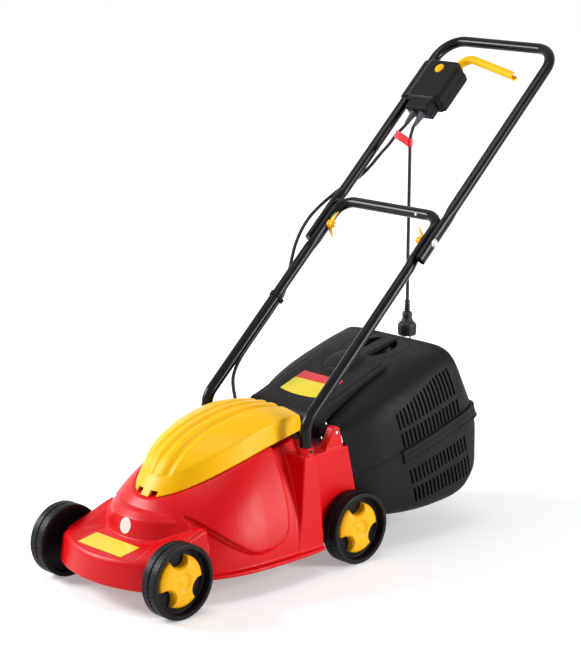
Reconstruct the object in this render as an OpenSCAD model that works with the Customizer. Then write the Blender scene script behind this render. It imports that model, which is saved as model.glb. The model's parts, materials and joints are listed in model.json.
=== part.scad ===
/* [Wheels] */
// Diameter of a wheel
wheel_d = 140; // [130:1:146]
// Width of a wheel
wheel_w = 36; // [32:1:38]
// Distance between the two axles
wheelbase = 447; // [440:1:456]
// Width over the wheels' outer faces
track_w = 362; // [360:1:372]
// Diameter of the steel axles
axle_d = 10; // [8:0.5:12]
// Diameter of a yellow hub cap
hub_d = 98; // [90:1:102]
// Radius of the three scallops in a hub cap
scallop_r = 19; // [15:1:22]
// Thickness of a wheel's web
web_t = 4; // [3:0.5:6]

/* [Deck] */
// Width of the deck over its skirt
deck_w = 356; // [340:1:360]
// Height of the skirt above the ground
skirt_z = 45; // [38:1:50]
// Wall of the moulded deck
deck_wall = 3.5; // [2.5:0.1:4.5]
// Width of the nose between the front wheels
nose_w = 274; // [260:1:278]
// Distance of the nose's tip ahead of the deck's middle
nose_reach = 296; // [285:1:305]
// Height of the nose's top
nose_top = 108; // [98:1:114]
// Width of the rear box
box_w = 280; // [272:1:284]
// Height of the rear box
box_top = 226; // [220:1:228]
// Radius of the motor's well in the deck
well_r = 56; // [55:0.5:60]
// Height of the well's floor
well_z = 122; // [116:1:126]
// Height of the handle sockets
socket_top = 246; // [240:1:256]

/* [Motor cover] */
// Width of the yellow cover at its foot
cover_w = 204; // [190:1:210]
// Wall of the cover
cover_wall = 2.8; // [2:0.1:3.5]
// Rise of the crown over the cover's side edges
crown_h = 27; // [15:1:32]
// Radius of the three lengthwise grooves
groove_r = 4; // [2:0.5:5]

/* [Motor and blade] */
// Diameter of the motor's yoke
yoke_d = 90; // [84:1:92]
// Diameter of the armature's core
core_d = 58; // [50:1:60]
// Diameter of the spindle
spindle_d = 12; // [10:0.5:14]
// Diameter of the lower bearing
bearing_d = 32; // [28:1:35]
// Height of the lower bearing
bearing_h = 9; // [7:1:10]
// Diameter of the cooling fan
fan_d = 84; // [70:1:90]
// Length of the blade
blade_l = 320; // [300:1:324]
// Width of the blade
blade_w = 45; // [38:1:52]
// Thickness of the blade
blade_t = 3.5; // [2.5:0.5:4]
// Height of the blade's underside
blade_z = 62; // [60:1:66]

/* [Handle] */
// Diameter of the handle tubes
tube_d = 22; // [20:0.5:24]
// Wall of the handle tubes
tube_wall = 1.2; // [1:0.1:2]
// Distance between the lower handle's legs
leg_span = 280; // [276:1:284]
// Slope of the handle
slope = 43.1; // [41:0.1:45]
// Length of the lower handle from its bend to its crossbar
lower_len = 506; // [490:1:530]
// Distance of the fold bolts below the crossbar
bolt_drop = 61.5; // [58:0.5:70]
// Length of the upper handle above the fold bolts
upper_len = 505; // [480:1:520]
// Length of the upper handle's legs below the bolts
leg_tail = 45; // [35:1:50]
// Thickness of each tube where the two are pressed flat
flat_t = 16.4; // [14:0.1:18]
// Diameter of the fold bolts
bolt_d = 6; // [5:0.5:8]

/* [Switch box] */
// Length of the switch box along the handle
case_l = 108; // [100:1:116]
// Width of the raised part of the switch box
case_w = 88; // [80:1:94]
// Height of the switch box above the tube's middle
case_h = 30; // [26:1:34]
// Wall of the switch box
case_wall = 2.5; // [2:0.1:3.5]
// Diameter of the safety button
button_d = 22; // [16:1:26]
// Travel of the safety button
button_travel = 4; // [2:0.5:4.5]
// Width of the switch lever
lever_d = 18; // [14:1:20]

/* [Rear flap] */
// Width of the flap
flap_w = 190; // [180:1:198]
// Length of the flap behind its front edge
flap_l = 191; // [170:1:200]
// Thickness of the flap
flap_t = 3; // [2:0.1:4]
// Diameter of the flap's hinge rod
rod_d = 6; // [5:0.5:7]

/* [Grass catcher] */
// Greatest width of the catcher
catcher_w = 350; // [330:1:354]
// Wall of the catcher
catcher_wall = 2.6; // [2:0.1:3.5]
// Width of an air slot
slot_w = 5; // [4:0.1:6]
// Distance from slot to slot
slot_pitch = 10.4; // [9:0.1:12]
// How far the belt stands out
belt_t = 4; // [2:0.5:6]
// Height of the belt
belt_h = 11; // [8:1:18]

/* [Cables] */
// Diameter of the motor cable and the mains lead
cable_d = 7; // [6:0.5:7]
// Length of a cable gland outside the switch box
gland_l = 30; // [20:1:40]
// Diameter of the plug's body
plug_d = 38; // [34:1:42]
// Diameter of a plug pin
pin_d = 4.8; // [4:0.1:5]
// Length of a plug pin
pin_l = 19; // [16:1:22]

/* [Hidden] */
$fn = 48;
seat_gap = 0.3;
run_gap = 0.06;
side_gap = 0.4;
far = 900;

wheel_r = wheel_d / 2;
axle_z = wheel_r;
axle_r = axle_d / 2;
front_y = -wheelbase / 2;
rear_y = wheelbase / 2;
wheel_x = track_w / 2 - wheel_w / 2;
hub_r = hub_d / 2;
axle_half = wheel_x + 9.5;
boss_r = axle_r + 9;

// The deck's bell: a skirt outline that shrinks to the seat of the motor cover.
bell_mid = 15;
bell_front = 222;
bell_rear = 282;
bell_cut = 137;
bell_n = 2.6;
bell_power = 1.9;
bell_levels = 6;
ring_count = 44;
shelf = 5;
// The seat rises to the rear along an arch.
seat_mid = 236;
seat_slope = 0.265;
seat_arch = 0.00055;
function seat_z(y) = seat_mid + seat_slope * y - seat_arch * y * y;

cover_mid = 30;
cover_front = 195;
cover_end = 150;
cover_n = 2.1;
cover_lean = 24;
cover_tuck = 6;
// Height of the cover's side edge over the seat, along the deck
side_rise = [[-141, 25], [-100, 31], [-54, 34], [4, 37], [60, 38], [95, 36], [150, 26]];
// Share of the crown's height, along the deck
crown_share = [[-141, 0.1], [-125, 0.6], [-100, 0.9], [-60, 1.1], [0, 1], [60, 0.76], [100, 0.55], [150, 0.4]];
crown_steps = [1, 0.8, 0.55, 0.25];
cover_screws_at = [[60, -100], [78, 40]];

arc_r = 260;
nose_root = -150;
nose_step = 11;
spindle_y = -10;
blade_top = blade_z + blade_t;
spindle_r = spindle_d / 2;
plate_t = 8;
washer_t = 3.5;
yoke_z = well_z + plate_t;
yoke_h = 68;
bridge_z = yoke_z + yoke_h;
bridge_h = 24;
upper_bearing_r = 11;
upper_bearing_h = 7;
fan_z = bridge_z + bridge_h + upper_bearing_h + 3;
fan_h = 12;
spindle_top = fan_z + fan_h + 2;
hub_h = 14;
screw_ring = well_r - 6;

// The rear box: its furthest point back, that point's height, and its top's rear edge.
box_foot = 250;
box_knee = 130;
box_head = 226;

rod_y = 197;
rod_z = 258;
rod_r = rod_d / 2;
ear_x = 120;
ear_t = 18;

tube_r = tube_d / 2;
leg_x = leg_span / 2;
socket_y = 114;
socket_floor = 200;
bend_z = 291.5;
lower_bend = 45;
corner_r = 40;
top_corner_r = 52;
bolt_s = lower_len - bolt_drop;
bolt_y = socket_y + bolt_s * cos(slope);
bolt_z = bend_z + bolt_s * sin(slope);
bolt_r = bolt_d / 2;
flat_x = leg_x - tube_r + flat_t;
upper_x = flat_x + side_gap + flat_t - tube_r;
// Each wing nut seats on a pad pressed into the inside of the tube.
pad_depth = 0.8;
pad_l = 26;
nut_x = leg_x - tube_r + pad_depth - seat_gap;
// What stays open inside a tube where it is pressed flat
vent_r = 2.5;
tube_sides = 20;
bend_steps = 6;
flat_down = 54;
flat_up = 74;
bar_y = bolt_y + upper_len * cos(slope);

case_s = 322;
case_x1 = -40;
case_x0 = case_x1 - case_w;
split_n = 8;
neck_s = 298;
neck_x0 = -114;
neck_x1 = -54;
clamp_s = 336;
clamp_l = 98;
clamp_wall = 3.5;
// Height of the box's underside from the tube's middle, and the four-sided block on its floor.
case_low = -tube_r - clamp_wall;
block_h = 20;
block_low = case_low + case_wall + 0.05;
block_top = block_low + block_h;
screw_r = 1.7;
case_screws = [[case_x0 + 9, case_s + 10], [case_x1 - 10, case_s + 12],
    [case_x0 + 9, case_s + case_l - 10]];
button_x = -88;
button_s = 405;
lever_n = -1;
lever_x = -75;
lever_s = 424;
motor_gland_x = -98;
lead_gland_x = -74;
gland_n = 9;
gland_r = 6;

flap_front = 194;
flap_top = 289;
flap_slope = 19.6;
spring_x = 40;

// The catcher's outline: place along the mower, share of the half width, underside, top.
catcher_rows = [
    [196, 0.71, 140, 258, 4.5, 0], [230, 0.745, 118, 275, 4.5, 0], [262, 0.79, 90, 290, 4.5, 0],
    [300, 0.84, 70, 310, 4.5, 0], [356, 0.94, 63, 336, 5, 0.05], [420, 0.99, 62, 362, 6, 0.09],
    [480, 1, 64, 378, 8, 0.12], [507, 1, 66, 380, 8, 0.12], [530, 0.99, 74, 332, 7, 0.1],
    [548, 0.97, 90, 287, 6, 0.05], [560, 0.95, 108, 250, 6, 0.02], [564, 0.92, 120, 236, 6, 0]];
catcher_n = 9;
catcher_ring = 28;
belt_slope = 16;
belt_y = 356;
belt_z = 189;
mouth_gap = 0.5;
belt_drop = 16;
slot_rows = [[2, 15, 52, 44], [2, 15, 9, 36], [2, 15, -68, 34], [2, 15, -110, 32]];

// The motor cable's route from its gland to the deck, and where it passes from piece to piece.
motor_route = [[-98, 629, 788], [-99, 618, 777], [-104, 604, 763], [-115, 594, 743], [-127, 588, 728],
    [-135, 580, 714], [-142, 568, 698], [-150, 555, 683], [-157, 540, 671], [-163, 523, 662],
    [-166, 506, 655], [-168, 494, 649], [-171, 466, 633], [-172, 446, 621], [-173, 427, 607],
    [-172, 408, 590], [-171, 393, 572], [-168, 378, 550], [-164, 367, 531], [-158, 354, 509],
    [-153, 344, 492], [-146, 332, 476], [-140.5, 319, 463], [-140, 310.3, 454.6], [-140, 301.5, 446.4],
    [-140, 280, 426], [-140, 250, 398], [-140, 215, 365], [-136, 190, 341], [-127, 172, 321],
    [-114, 161, 303], [-104, 156, 288], [-100, 154, 272], [-100, 154, 250], [-100, 154, 216]];
fold_from = 8;
fold_to = 22;
lead_route = [[-74, 629, 788], [-74, 622, 779], [-74, 617, 766], [-74, 614.5, 750], [-74, 614, 720],
    [-74, 613.5, 670], [-74, 613, 620], [-74, 612.5, 570], [-74, 612, 520], [-74, 612, 470],
    [-74, 612, 440], [-74, 612, 421]];
plug_at = [-74, 612, 421];
plug_l = 75;
// Half the distance between the pins, and how deep they sit in the plug.
pin_x = 9.5;
pin_root = 15;
cable_inlet = motor_route[len(motor_route) - 1];
cable_sides = 10;

y_low = -nose_reach;
y_high = bar_y + tube_r;
mid_y = (y_low + y_high) / 2;

// ---------- shared shapes ----------

function unit(v) = v / norm(v);
function power(v, p) = sign(v) * pow(abs(v), p);

// One closed outline: half width a, reaches f ahead and r behind the middle, squareness n.
function outline(a, f, r, mid, n) = [for (i = [0:ring_count - 1])
    let (t = -90 + (i + 0.5) * 360 / ring_count, s = sin(t))
    [a * power(cos(t), 2 / n), mid + (s < 0 ? f : r) * power(s, 2 / n)]];

// A solid through rings of equal length, each closed across from its mirrored points.
module skin(rings) {
    n = len(rings[0]);
    m = len(rings);
    sides = [for (k = [0:m - 2]) for (i = [0:n - 1])
        let (a = k * n + i, b = k * n + (i + 1) % n) each [[a, b + n, b], [a, a + n, b + n]]];
    start = concat([for (i = [0:floor(n / 2) - 2])
        each [[i, i + 1, n - 2 - i], [i, n - 2 - i, n - 1 - i]]],
        n % 2 == 0 ? [] : [[(n - 3) / 2, (n - 1) / 2, (n + 1) / 2]]);
    end = [for (f = start) [f[2] + (m - 1) * n, f[1] + (m - 1) * n, f[0] + (m - 1) * n]];
    polyhedron(points = [for (r = rings) each r], faces = concat(sides, start, end));
}

// The directions of a path's straight stretches.
function directions(path) = [for (i = [0:len(path) - 2]) unit(path[i + 1][0] - path[i][0])];

// The places along one rounded corner, each with its direction and the tube's radius there.
function corner(p, u, v, bend_r, r) =
    let (turn = acos(u * v), w = unit(v - (v * u) * u), c = p - u * bend_r * tan(turn / 2) + w * bend_r)
    [for (k = [0:bend_steps]) let (t = turn * k / bend_steps)
        [c - w * bend_r * cos(t) + u * bend_r * sin(t), u * cos(t) + w * sin(t), r]];

function stations(path) =
    let (d = directions(path), last = len(path) - 1)
    [for (i = [0:last]) each
        i == 0 ? [[path[0][0], d[0], path[0][2]]]
        : i == last ? [[path[i][0], d[i - 1], path[i][2]]]
        : path[i][1] == 0 ? [[path[i][0], d[i], path[i][2]]]
        : corner(path[i][0], d[i - 1], d[i], path[i][1], path[i][2])];

// The side of each ring, carried along the path without twist.
function sides(places, i, side) = i == len(places) ? []
    : let (u = places[i][1], a = unit(side - (side * u) * u)) concat([a], sides(places, i + 1, a));

// A round tube along a path of [corner point, bend radius, tube radius].
module tube(path, side = [1, 0, 0]) {
    places = stations(path);
    across = sides(places, 0, side);
    skin([for (i = [0:len(places) - 1])
        let (p = places[i], a = across[i], b = cross(p[1], a))
        [for (k = [0:tube_sides - 1]) let (t = (k + 0.5) * 360 / tube_sides)
            p[0] + (a * cos(t) + b * sin(t)) * p[2]]]);
}

// A cable as one closed tube along its route, or along a stretch of it.
module cable(route, first = 0, last = 0) {
    end = last > 0 ? last : len(route) - 1;
    rings = [for (i = [first:end])
        let (u = unit(route[min(i + 1, len(route) - 1)] - route[max(i - 1, 0)]),
             a = unit(cross(u, [0, sin(slope), -cos(slope)])), b = cross(u, a))
        [for (k = [0:cable_sides - 1])
            let (t = (k + 0.5) * 360 / cable_sides) route[i] + (a * cos(t) + b * sin(t)) * cable_d / 2]];
    skin(rings);
}

// Free-form walls, made as one smooth-faced mesh.
module shell() {
    resize([0, 0, 0])
        children();
}

module mirrored() {
    children();
    mirror([1, 0, 0])
        children();
}

// A shape drawn in the side view and given width along X.
module side_plate(x0, x1, pts) {
    translate([x0, 0, 0])
        rotate([90, 0, 90])
            linear_extrude(height = x1 - x0)
                polygon(pts);
}

// Places a shape drawn on the handle: X across, Y up the handle from the bolts, Z out of its plane.
module on_handle() {
    translate([0, bolt_y, bolt_z])
        rotate([slope, 0, 0])
            children();
}

// Places a shape drawn about +Z on a wheel's middle, with +Z to the outside.
module on_wheel(side, y) {
    translate([side * wheel_x, y, axle_z])
        rotate([0, side * 90, 0])
            children();
}

module place() {
    translate([0, -mid_y, 0])
        children();
}

// ---------- deck ----------

// The bell's rings, drawn in by an inset on every side.
function bell_rings(inset) = [for (k = [0:bell_levels])
    let (h = k / bell_levels, g = pow(h, bell_power),
         low = outline(deck_w / 2 - inset, bell_front - inset, bell_rear, bell_mid, bell_n),
         top = outline(cover_w / 2 + shelf - inset, cover_front + shelf - inset, bell_rear,
             cover_mid, cover_n),
         foot = skirt_z - (inset > 0 ? 5 : 0))
    [for (i = [0:ring_count - 1])
        [low[i][0] * (1 - g) + top[i][0] * g, low[i][1] * (1 - g) + top[i][1] * g,
            foot * (1 - h) + (seat_z(min(top[i][1], cover_end)) - inset) * h]]];

module bell(inset, cut_y) {
    intersection() {
        skin(bell_rings(inset));
        translate([-far / 2, cut_y - far, 0])
            cube([far, far, far]);
    }
}

// The nose seen from above: a wide arc between two straight sides.
function nose_plan(inset) =
    let (half = nose_w / 2 - inset, r = arc_r - inset, tip = -nose_reach + inset,
         a = asin(half / r))
    concat([[-half, nose_root + inset]],
        [for (k = [0:nose_step])
            let (t = 2 * a * k / nose_step - a) [r * sin(t), tip + r * (1 - cos(t))]],
        [[half, nose_root + inset]]);

// Its front leans back, then rounds over into the flat top.
module nose(inset) {
    drop = inset > 0 ? 5 : 0;
    levels = [[0, skirt_z - drop], [5, nose_top - 24 - inset], [11, nose_top - 9 - inset],
        [19, nose_top - 2 - inset], [30, nose_top - inset]];
    skin([for (l = levels) [for (p = nose_plan(inset + l[0])) [p[0], p[1], l[1]]]]);
}

// The shoulder behind a front wheel, over the axle.
module shoulder(inset) {
    x1 = nose_w / 2 - inset;
    x0 = nose_w / 2 - 44 + inset;
    side = [[-252 + inset, 60], [-240 + inset, 103 - inset], [-221 + inset, 112 - inset],
        [-170, 137 - inset], [-147 - inset, 138 - inset], [-128 - inset, 122 - inset], [-128 - inset, 60]];
    crest = [[-246 + inset, 60], [-236 + inset, 106 - inset], [-219 + inset, 116 - inset],
        [-168, 143 - inset], [-150 - inset, 144 - inset], [-133 - inset, 127 - inset], [-132 - inset, 60]];
    skin([for (r = [[x1, side], [x1 - 6, crest], [x0 + 8, crest], [x0, side]])
        [for (p = r[1]) [r[0], p[0], p[1]]]]);
}

module pillar(inset) {
    skin([for (r = [[skirt_z - (inset > 0 ? 5 : 0), 120, 168, 71, 138], [231 - inset, 108, 158, 95, 128]])
        [[r[2] - inset, r[3] + inset, r[0]], [r[2] - inset, r[4] - inset, r[0]],
            [r[1] - inset, r[4] - inset, r[0]], [r[1] - inset, r[3] + inset, r[0]]]]);
}

module rear_box(inset) {
    drop = inset > 0 ? 5 : 0;
    side_plate(-box_w / 2 + inset, box_w / 2 - inset,
        [[100 + inset, skirt_z - drop], [box_foot - 6 - inset, skirt_z - drop], [box_foot - inset, box_knee],
            [box_head - inset, box_top - inset], [130, box_top - inset], [100 + inset, 190]]);
}

// A web on the rear box with a round top for the hinge rod.
module ear() {
    side_plate(ear_x, ear_x + ear_t, [[164, box_top - 6], [rod_y - 9, rod_z + 6], [rod_y + 10.5, rod_z + 3],
        [218, box_top - 6]]);
    translate([ear_x, rod_y, rod_z])
        rotate([0, 90, 0])
            cylinder(h = ear_t, r = 11);
}

module deck_outside() {
    bell(0, bell_cut);
    nose(0);
    mirrored()
        shoulder(0);
    mirrored()
        pillar(0);
    rear_box(0);
}

module deck_inside() {
    bell(deck_wall, bell_cut - deck_wall);
    nose(deck_wall);
    mirrored()
        shoulder(deck_wall);
    mirrored()
        pillar(deck_wall);
    rear_box(deck_wall);
}

module well(r, z) {
    translate([0, spindle_y, z])
        cylinder(h = far, r = r, $fn = 64);
}

module screw_places() {
    for (p = cover_screws_at)
        for (side = [-1, 1])
            translate([side * p[0], p[1], seat_z(p[1])])
                children();
}

module motor_screw_places() {
    for (a = [45:90:315])
        translate([screw_ring * cos(a), spindle_y + screw_ring * sin(a), 0])
            children();
}

module deck() {
    color([0.88, 0.07, 0.09])
        difference() {
            union() {
                shell()
                    difference() {
                        union() {
                            deck_outside();
                            intersection() {
                                bell(0, bell_cut);
                                well(well_r + deck_wall, well_z - deck_wall);
                            }
                        }
                        difference() {
                            deck_inside();
                            well(well_r + deck_wall, well_z - deck_wall);
                        }
                    }
                mirrored() {
                    translate([leg_x, socket_y, socket_floor - deck_wall])
                        cylinder(h = socket_top - socket_floor + deck_wall, r = tube_r + 4.5, $fn = 32);
                    ear();
                }
            }
            well(well_r, well_z);
            translate([0, spindle_y, well_z - 10])
                cylinder(h = 20, r = bearing_d / 2 + seat_gap, $fn = 64);
            motor_screw_places()
                translate([0, 0, well_z - 10])
                    cylinder(h = 20, r = 2.9, $fn = 16);
            mirrored()
                translate([leg_x, socket_y, socket_floor])
                    cylinder(h = far, r = tube_r + seat_gap, $fn = 64);
            for (y = [front_y, rear_y])
                translate([-far / 2, y, axle_z])
                    rotate([0, 90, 0])
                        cylinder(h = far, r = axle_r + seat_gap + 0.1, $fn = 32);
            translate([-far / 2, rod_y, rod_z])
                rotate([0, 90, 0])
                    cylinder(h = far, r = rod_r + 0.2, $fn = 32);
            mirrored()
                translate([leg_x - 40, socket_y, socket_top - 6])
                    rotate([0, 90, 0])
                        cylinder(h = 80, r = 2.7, $fn = 16);
            screw_places()
                translate([0, 0, -12])
                    cylinder(h = 24, r = 2.4, $fn = 16);
            translate([cable_inlet[0], cable_inlet[1], box_top - 20])
                cylinder(h = 60, r = cable_d / 2 + seat_gap + 0.4, $fn = 24);
            // discharge opening into the catcher
            translate([-box_w / 2 + 28, 200, 140])
                cube([box_w - 56, 100, box_top - 140 - 12]);
        }
}

// ---------- motor cover ----------

function side_z(y) = seat_z(y) + lookup(y, side_rise);
function crown_z(y) = crown_h * lookup(y, crown_share);

function cover_rings(inset) =
    let (foot = outline(cover_w / 2 - inset, cover_front - inset, bell_rear, cover_mid, cover_n),
         edge = outline(cover_w / 2 - cover_tuck - inset, cover_front - cover_lean - inset, bell_rear,
             cover_mid, cover_n))
    concat(
        [[for (p = foot) [p[0], p[1], seat_z(min(p[1], cover_end)) + seat_gap - (inset > 0 ? 6 : 0)]]],
        [for (c = crown_steps) [for (p = edge)
            let (y = min(p[1], cover_end))
            [p[0] * c, p[1], side_z(y) - inset + crown_z(y) * (1 - c * c)]]]);

module cover_body(inset) {
    intersection() {
        skin(cover_rings(inset));
        translate([-far / 2, cover_end - inset - far, 0])
            cube([far, far, far]);
    }
}

// A lengthwise groove that follows the crown at a share of the cover's width.
module groove(share) {
    edge = function(y) (cover_w / 2 - cover_tuck)
        * sqrt(max(0.02, 1 - pow(max(0, cover_mid - y) / (cover_front - cover_lean), 2)));
    skin([for (y = [-112:24:128])
        [for (t = [22.5:45:337.5])
            [share * edge(y) - groove_r * sin(t), y,
                side_z(y) + crown_z(y) * (1 - share * share) + groove_r * (0.45 - cos(t))]]]);
}

module motor_cover() {
    color([1, 0.75, 0.02])
        union() {
            shell()
                difference() {
                    cover_body(0);
                    cover_body(cover_wall);
                    for (share = [-0.36, 0, 0.36])
                        groove(share);
                    for (x = [-22, 8])
                        translate([x, -far / 2, seat_z(-160) - 10])
                            cube([14, far / 2 - 140, 20]);
                }
            difference() {
                intersection() {
                    screw_places()
                        translate([0, 0, seat_gap + 2])
                            cylinder(h = far, r = 4.5, $fn = 20);
                    cover_body(cover_wall / 2);
                }
                screw_places()
                    cylinder(h = 16, r = 1.9, $fn = 16);
            }
        }
}

module cover_screws() {
    color("dimgray")
        screw_places() {
            translate([0, 0, -deck_wall - 4.4])
                cylinder(h = 2.6, r = 4);
            translate([0, 0, -deck_wall - 1.8])
                cylinder(h = deck_wall + 14, r = 1.6);
        }
}

// ---------- motor and blade ----------

module at_spindle(z) {
    translate([0, spindle_y, z])
        children();
}

module ring(h, r1, r0) {
    difference() {
        cylinder(h = h, r = r1);
        translate([0, 0, -1])
            cylinder(h = h + 2, r = r0);
    }
}

module motor_lower_plate() {
    color("silver")
        difference() {
            at_spindle(well_z)
                union() {
                    ring(plate_t, well_r - 1.5, spindle_r + 4);
                    translate([0, 0, -deck_wall])
                        ring(deck_wall + 0.01, bearing_d / 2, spindle_r + 4);
                }
            at_spindle(well_z - deck_wall - 1)
                cylinder(h = bearing_h + 1, r = bearing_d / 2 - 3);
            motor_screw_places()
                translate([0, 0, well_z - 1])
                    cylinder(h = plate_t + 2, r = 2.7);
        }
}

module lower_bearing() {
    color("lightgray")
        at_spindle(well_z - deck_wall)
            ring(bearing_h, bearing_d / 2 - 3.05, spindle_r + run_gap);
}

module upper_bearing() {
    color("lightgray")
        at_spindle(bridge_z + bridge_h)
            ring(upper_bearing_h, upper_bearing_r, spindle_r + run_gap);
}

module motor_yoke() {
    color("gray")
        at_spindle(yoke_z)
            ring(yoke_h, yoke_d / 2, core_d / 2 + 1);
}

module motor_upper_plate() {
    color("silver")
        at_spindle(bridge_z)
            difference() {
                union() {
                    ring(bridge_h, yoke_d / 2, yoke_d / 2 - 7);
                    translate([0, 0, bridge_h - 4])
                        ring(4, yoke_d / 2 - 6.5, spindle_r + 2);
                    translate([0, 0, bridge_h - 0.01])
                        ring(upper_bearing_h, upper_bearing_r + 3, upper_bearing_r + 0.05);
                }
                for (a = [0, 180])
                    rotate([0, 0, a])
                        translate([20, -4.2, 5.8])
                            cube([far, 8.4, 6.4]);
            }
}

module carbon_brushes() {
    color("black")
        at_spindle(bridge_z + 6)
            for (a = [0, 180])
                rotate([0, 0, a])
                    translate([14.2, -4, 0])
                        cube([yoke_d / 2 - 14.2, 8, 6]);
}

module motor_screws() {
    color("dimgray")
        motor_screw_places() {
            translate([0, 0, yoke_z + 0.1])
                cylinder(h = 3.5, r = 4.5);
            translate([0, 0, well_z - deck_wall - 1])
                cylinder(h = plate_t + deck_wall + 1.2, r = 2.5);
        }
}

module armature() {
    color("peru")
        at_spindle(yoke_z)
            difference() {
                union() {
                    translate([0, 0, 10])
                        cylinder(h = 50, r = core_d / 2);
                    translate([0, 0, 3])
                        cylinder(h = 64, r = core_d / 2 - 5);
                    translate([0, 0, 66])
                        cylinder(h = 16, r = 14);
                }
                translate([0, 0, -1])
                    cylinder(h = 100, r = spindle_r + 0.02);
            }
}

module spindle() {
    color("silver")
        at_spindle(blade_top)
            difference() {
                cylinder(h = spindle_top - blade_top, r = spindle_r);
                translate([0, 0, -1])
                    cylinder(h = 23, r = 3.05);
            }
}

module cooling_fan() {
    color("dimgray")
        at_spindle(fan_z)
            difference() {
                union() {
                    cylinder(h = 2.5, r = fan_d / 2);
                    cylinder(h = fan_h, r = spindle_r + 5);
                    for (a = [0:45:315])
                        rotate([0, 0, a])
                            translate([spindle_r + 3, -1, 0])
                                cube([fan_d / 2 - spindle_r - 5, 2, fan_h - 1]);
                }
                translate([0, 0, -1])
                    cylinder(h = fan_h + 2, r = spindle_r + 0.02);
            }
}

module blade_carrier() {
    color("dimgray")
        at_spindle(blade_top)
            difference() {
                union() {
                    cylinder(h = hub_h, r = 20);
                    cylinder(h = 5, r = 30);
                }
                translate([0, 0, -1])
                    cylinder(h = hub_h + 2, r = spindle_r + 0.02);
            }
}

module blade() {
    color("slategray")
        at_spindle(blade_z)
            difference() {
                union() {
                    translate([-blade_l / 2, -blade_w / 2, 0])
                        cube([blade_l, blade_w, blade_t]);
                    for (a = [0, 180])
                        rotate([0, 0, a])
                            translate([blade_l / 2 - 62, blade_w / 2 - 0.5, 0])
                                rotate([30, 0, 0])
                                    cube([60, 14, blade_t]);
                }
                translate([0, 0, -1])
                    cylinder(h = 20, r = 4.2);
                for (a = [0, 180])
                    rotate([0, 0, a])
                        translate([blade_l / 2 - 70, -blade_w / 2 - 0.01, blade_t])
                            rotate([-25, 0, 0])
                                translate([0, -10, 0])
                                    cube([80, 18, 10]);
            }
}

module blade_washer() {
    color("gray")
        at_spindle(blade_z - washer_t)
            ring(washer_t, 14, 4.2);
}

module blade_bolt() {
    color("dimgray")
        at_spindle(blade_z - washer_t) {
            translate([0, 0, -7])
                cylinder(h = 7, r = 9, $fn = 6);
            translate([0, 0, -1])
                cylinder(h = washer_t + blade_t + 1, r = 4);
            cylinder(h = washer_t + blade_t + 18, r = 3);
        }
}

// ---------- axles and wheels ----------

module axle(y) {
    translate([-axle_half, y, axle_z])
        rotate([0, 90, 0])
            cylinder(h = 2 * axle_half, r = axle_r);
}

module front_axle() {
    color("silver")
        axle(front_y);
}

module rear_axle() {
    color("silver")
        axle(rear_y);
}

module axle_clamps() {
    color("dimgray")
        for (side = [-1, 1])
            for (end = [[front_y, nose_w / 2 - 6], [rear_y, box_w / 2]])
                translate([side * (end[1] - deck_wall - 7.2), end[0], axle_z])
                    rotate([0, 90, 0])
                        difference() {
                            translate([-14, -13, -7])
                                cube([28, 26, 14]);
                            translate([0, 0, -8])
                                cylinder(h = 16, r = axle_r + 0.1);
                        }
}

module push_nuts() {
    color("silver")
        for (side = [-1, 1])
            for (y = [front_y, rear_y])
                on_wheel(side, y)
                    translate([0, 0, 6.3])
                        ring(2.4, 9.5, axle_r + 0.05);
}

module wheel(side, y) {
    h = wheel_w / 2;
    r = wheel_r;
    color([0.13, 0.13, 0.13])
        on_wheel(side, y)
            rotate_extrude($fn = 96)
                polygon([[axle_r + run_gap, -h + 2], [boss_r, -h + 2], [boss_r, -web_t], [r - 9, -web_t],
                    [r - 7.5, -h], [r - 1.4, -h], [r, -h + 1.4], [r, -1.2], [r - 1.6, -1.2],
                    [r - 1.6, 1.2], [r, 1.2], [r, h - 1.4], [r - 1.4, h], [r - 7.5, h],
                    [r - 9.5, 0], [boss_r, 0], [boss_r, 6], [axle_r + run_gap, 6]]);
}

module wheel_front_right() {
    wheel(1, front_y);
}

module wheel_front_left() {
    wheel(-1, front_y);
}

module wheel_rear_right() {
    wheel(1, rear_y);
}

module wheel_rear_left() {
    wheel(-1, rear_y);
}

// A hub cap: a dished shell with three scallops, standing on the wheel's web.
module hub_cap(side, y) {
    t = 2.4;
    color([1, 0.72, 0.05])
        on_wheel(side, y)
            difference() {
                rotate_extrude($fn = 96)
                    polygon([[0, 14.6], [6, 14.6], [10, 13], [14, 13], [18, 16.6], [30, 16.2], [42, 13.5],
                        [hub_r - 2, 10.5], [hub_r, 8.5], [hub_r, 0], [hub_r - t, 0], [hub_r - t, 8],
                        [41, 11], [30, 13.6], [19, 14], [15, 10.5], [0, 10.5]]);
                for (a = [97, 217, 337])
                    rotate([0, 0, side > 0 ? a - 90 : -90 - a])
                        translate([0, 0, -1])
                            translate([-(hub_r - 1), 0, 0])
                                cylinder(h = 40, r = scallop_r);
            }
}

module hub_front_right() {
    hub_cap(1, front_y);
}

module hub_front_left() {
    hub_cap(-1, front_y);
}

module hub_rear_right() {
    hub_cap(1, rear_y);
}

module hub_rear_left() {
    hub_cap(-1, rear_y);
}

// ---------- handle ----------

// The point on a handle leg at a distance up the slope from the bolts.
function leg_point(x, s) = [x, bolt_y + s * cos(slope), bolt_z + s * sin(slope)];

// The lower handle's path from socket to socket, for its outside and for its hollow.
function lower_leg(side, r) = [
    [[side * leg_x, socket_y, socket_floor + (r < tube_r ? -1 : 0.2)], 0, r],
    [[side * leg_x, socket_y, bend_z], lower_bend, r]];
function lower_flat(side) = [
    [leg_point(side * leg_x, -flat_down - 3), 0, tube_r - tube_wall],
    [leg_point(side * leg_x, -flat_down), 0, vent_r]];
function lower_corner(side, r) = [[leg_point(side * leg_x, bolt_drop), corner_r, r]];
function reversed(v) = [for (i = [len(v) - 1:-1:0]) v[i]];

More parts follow.
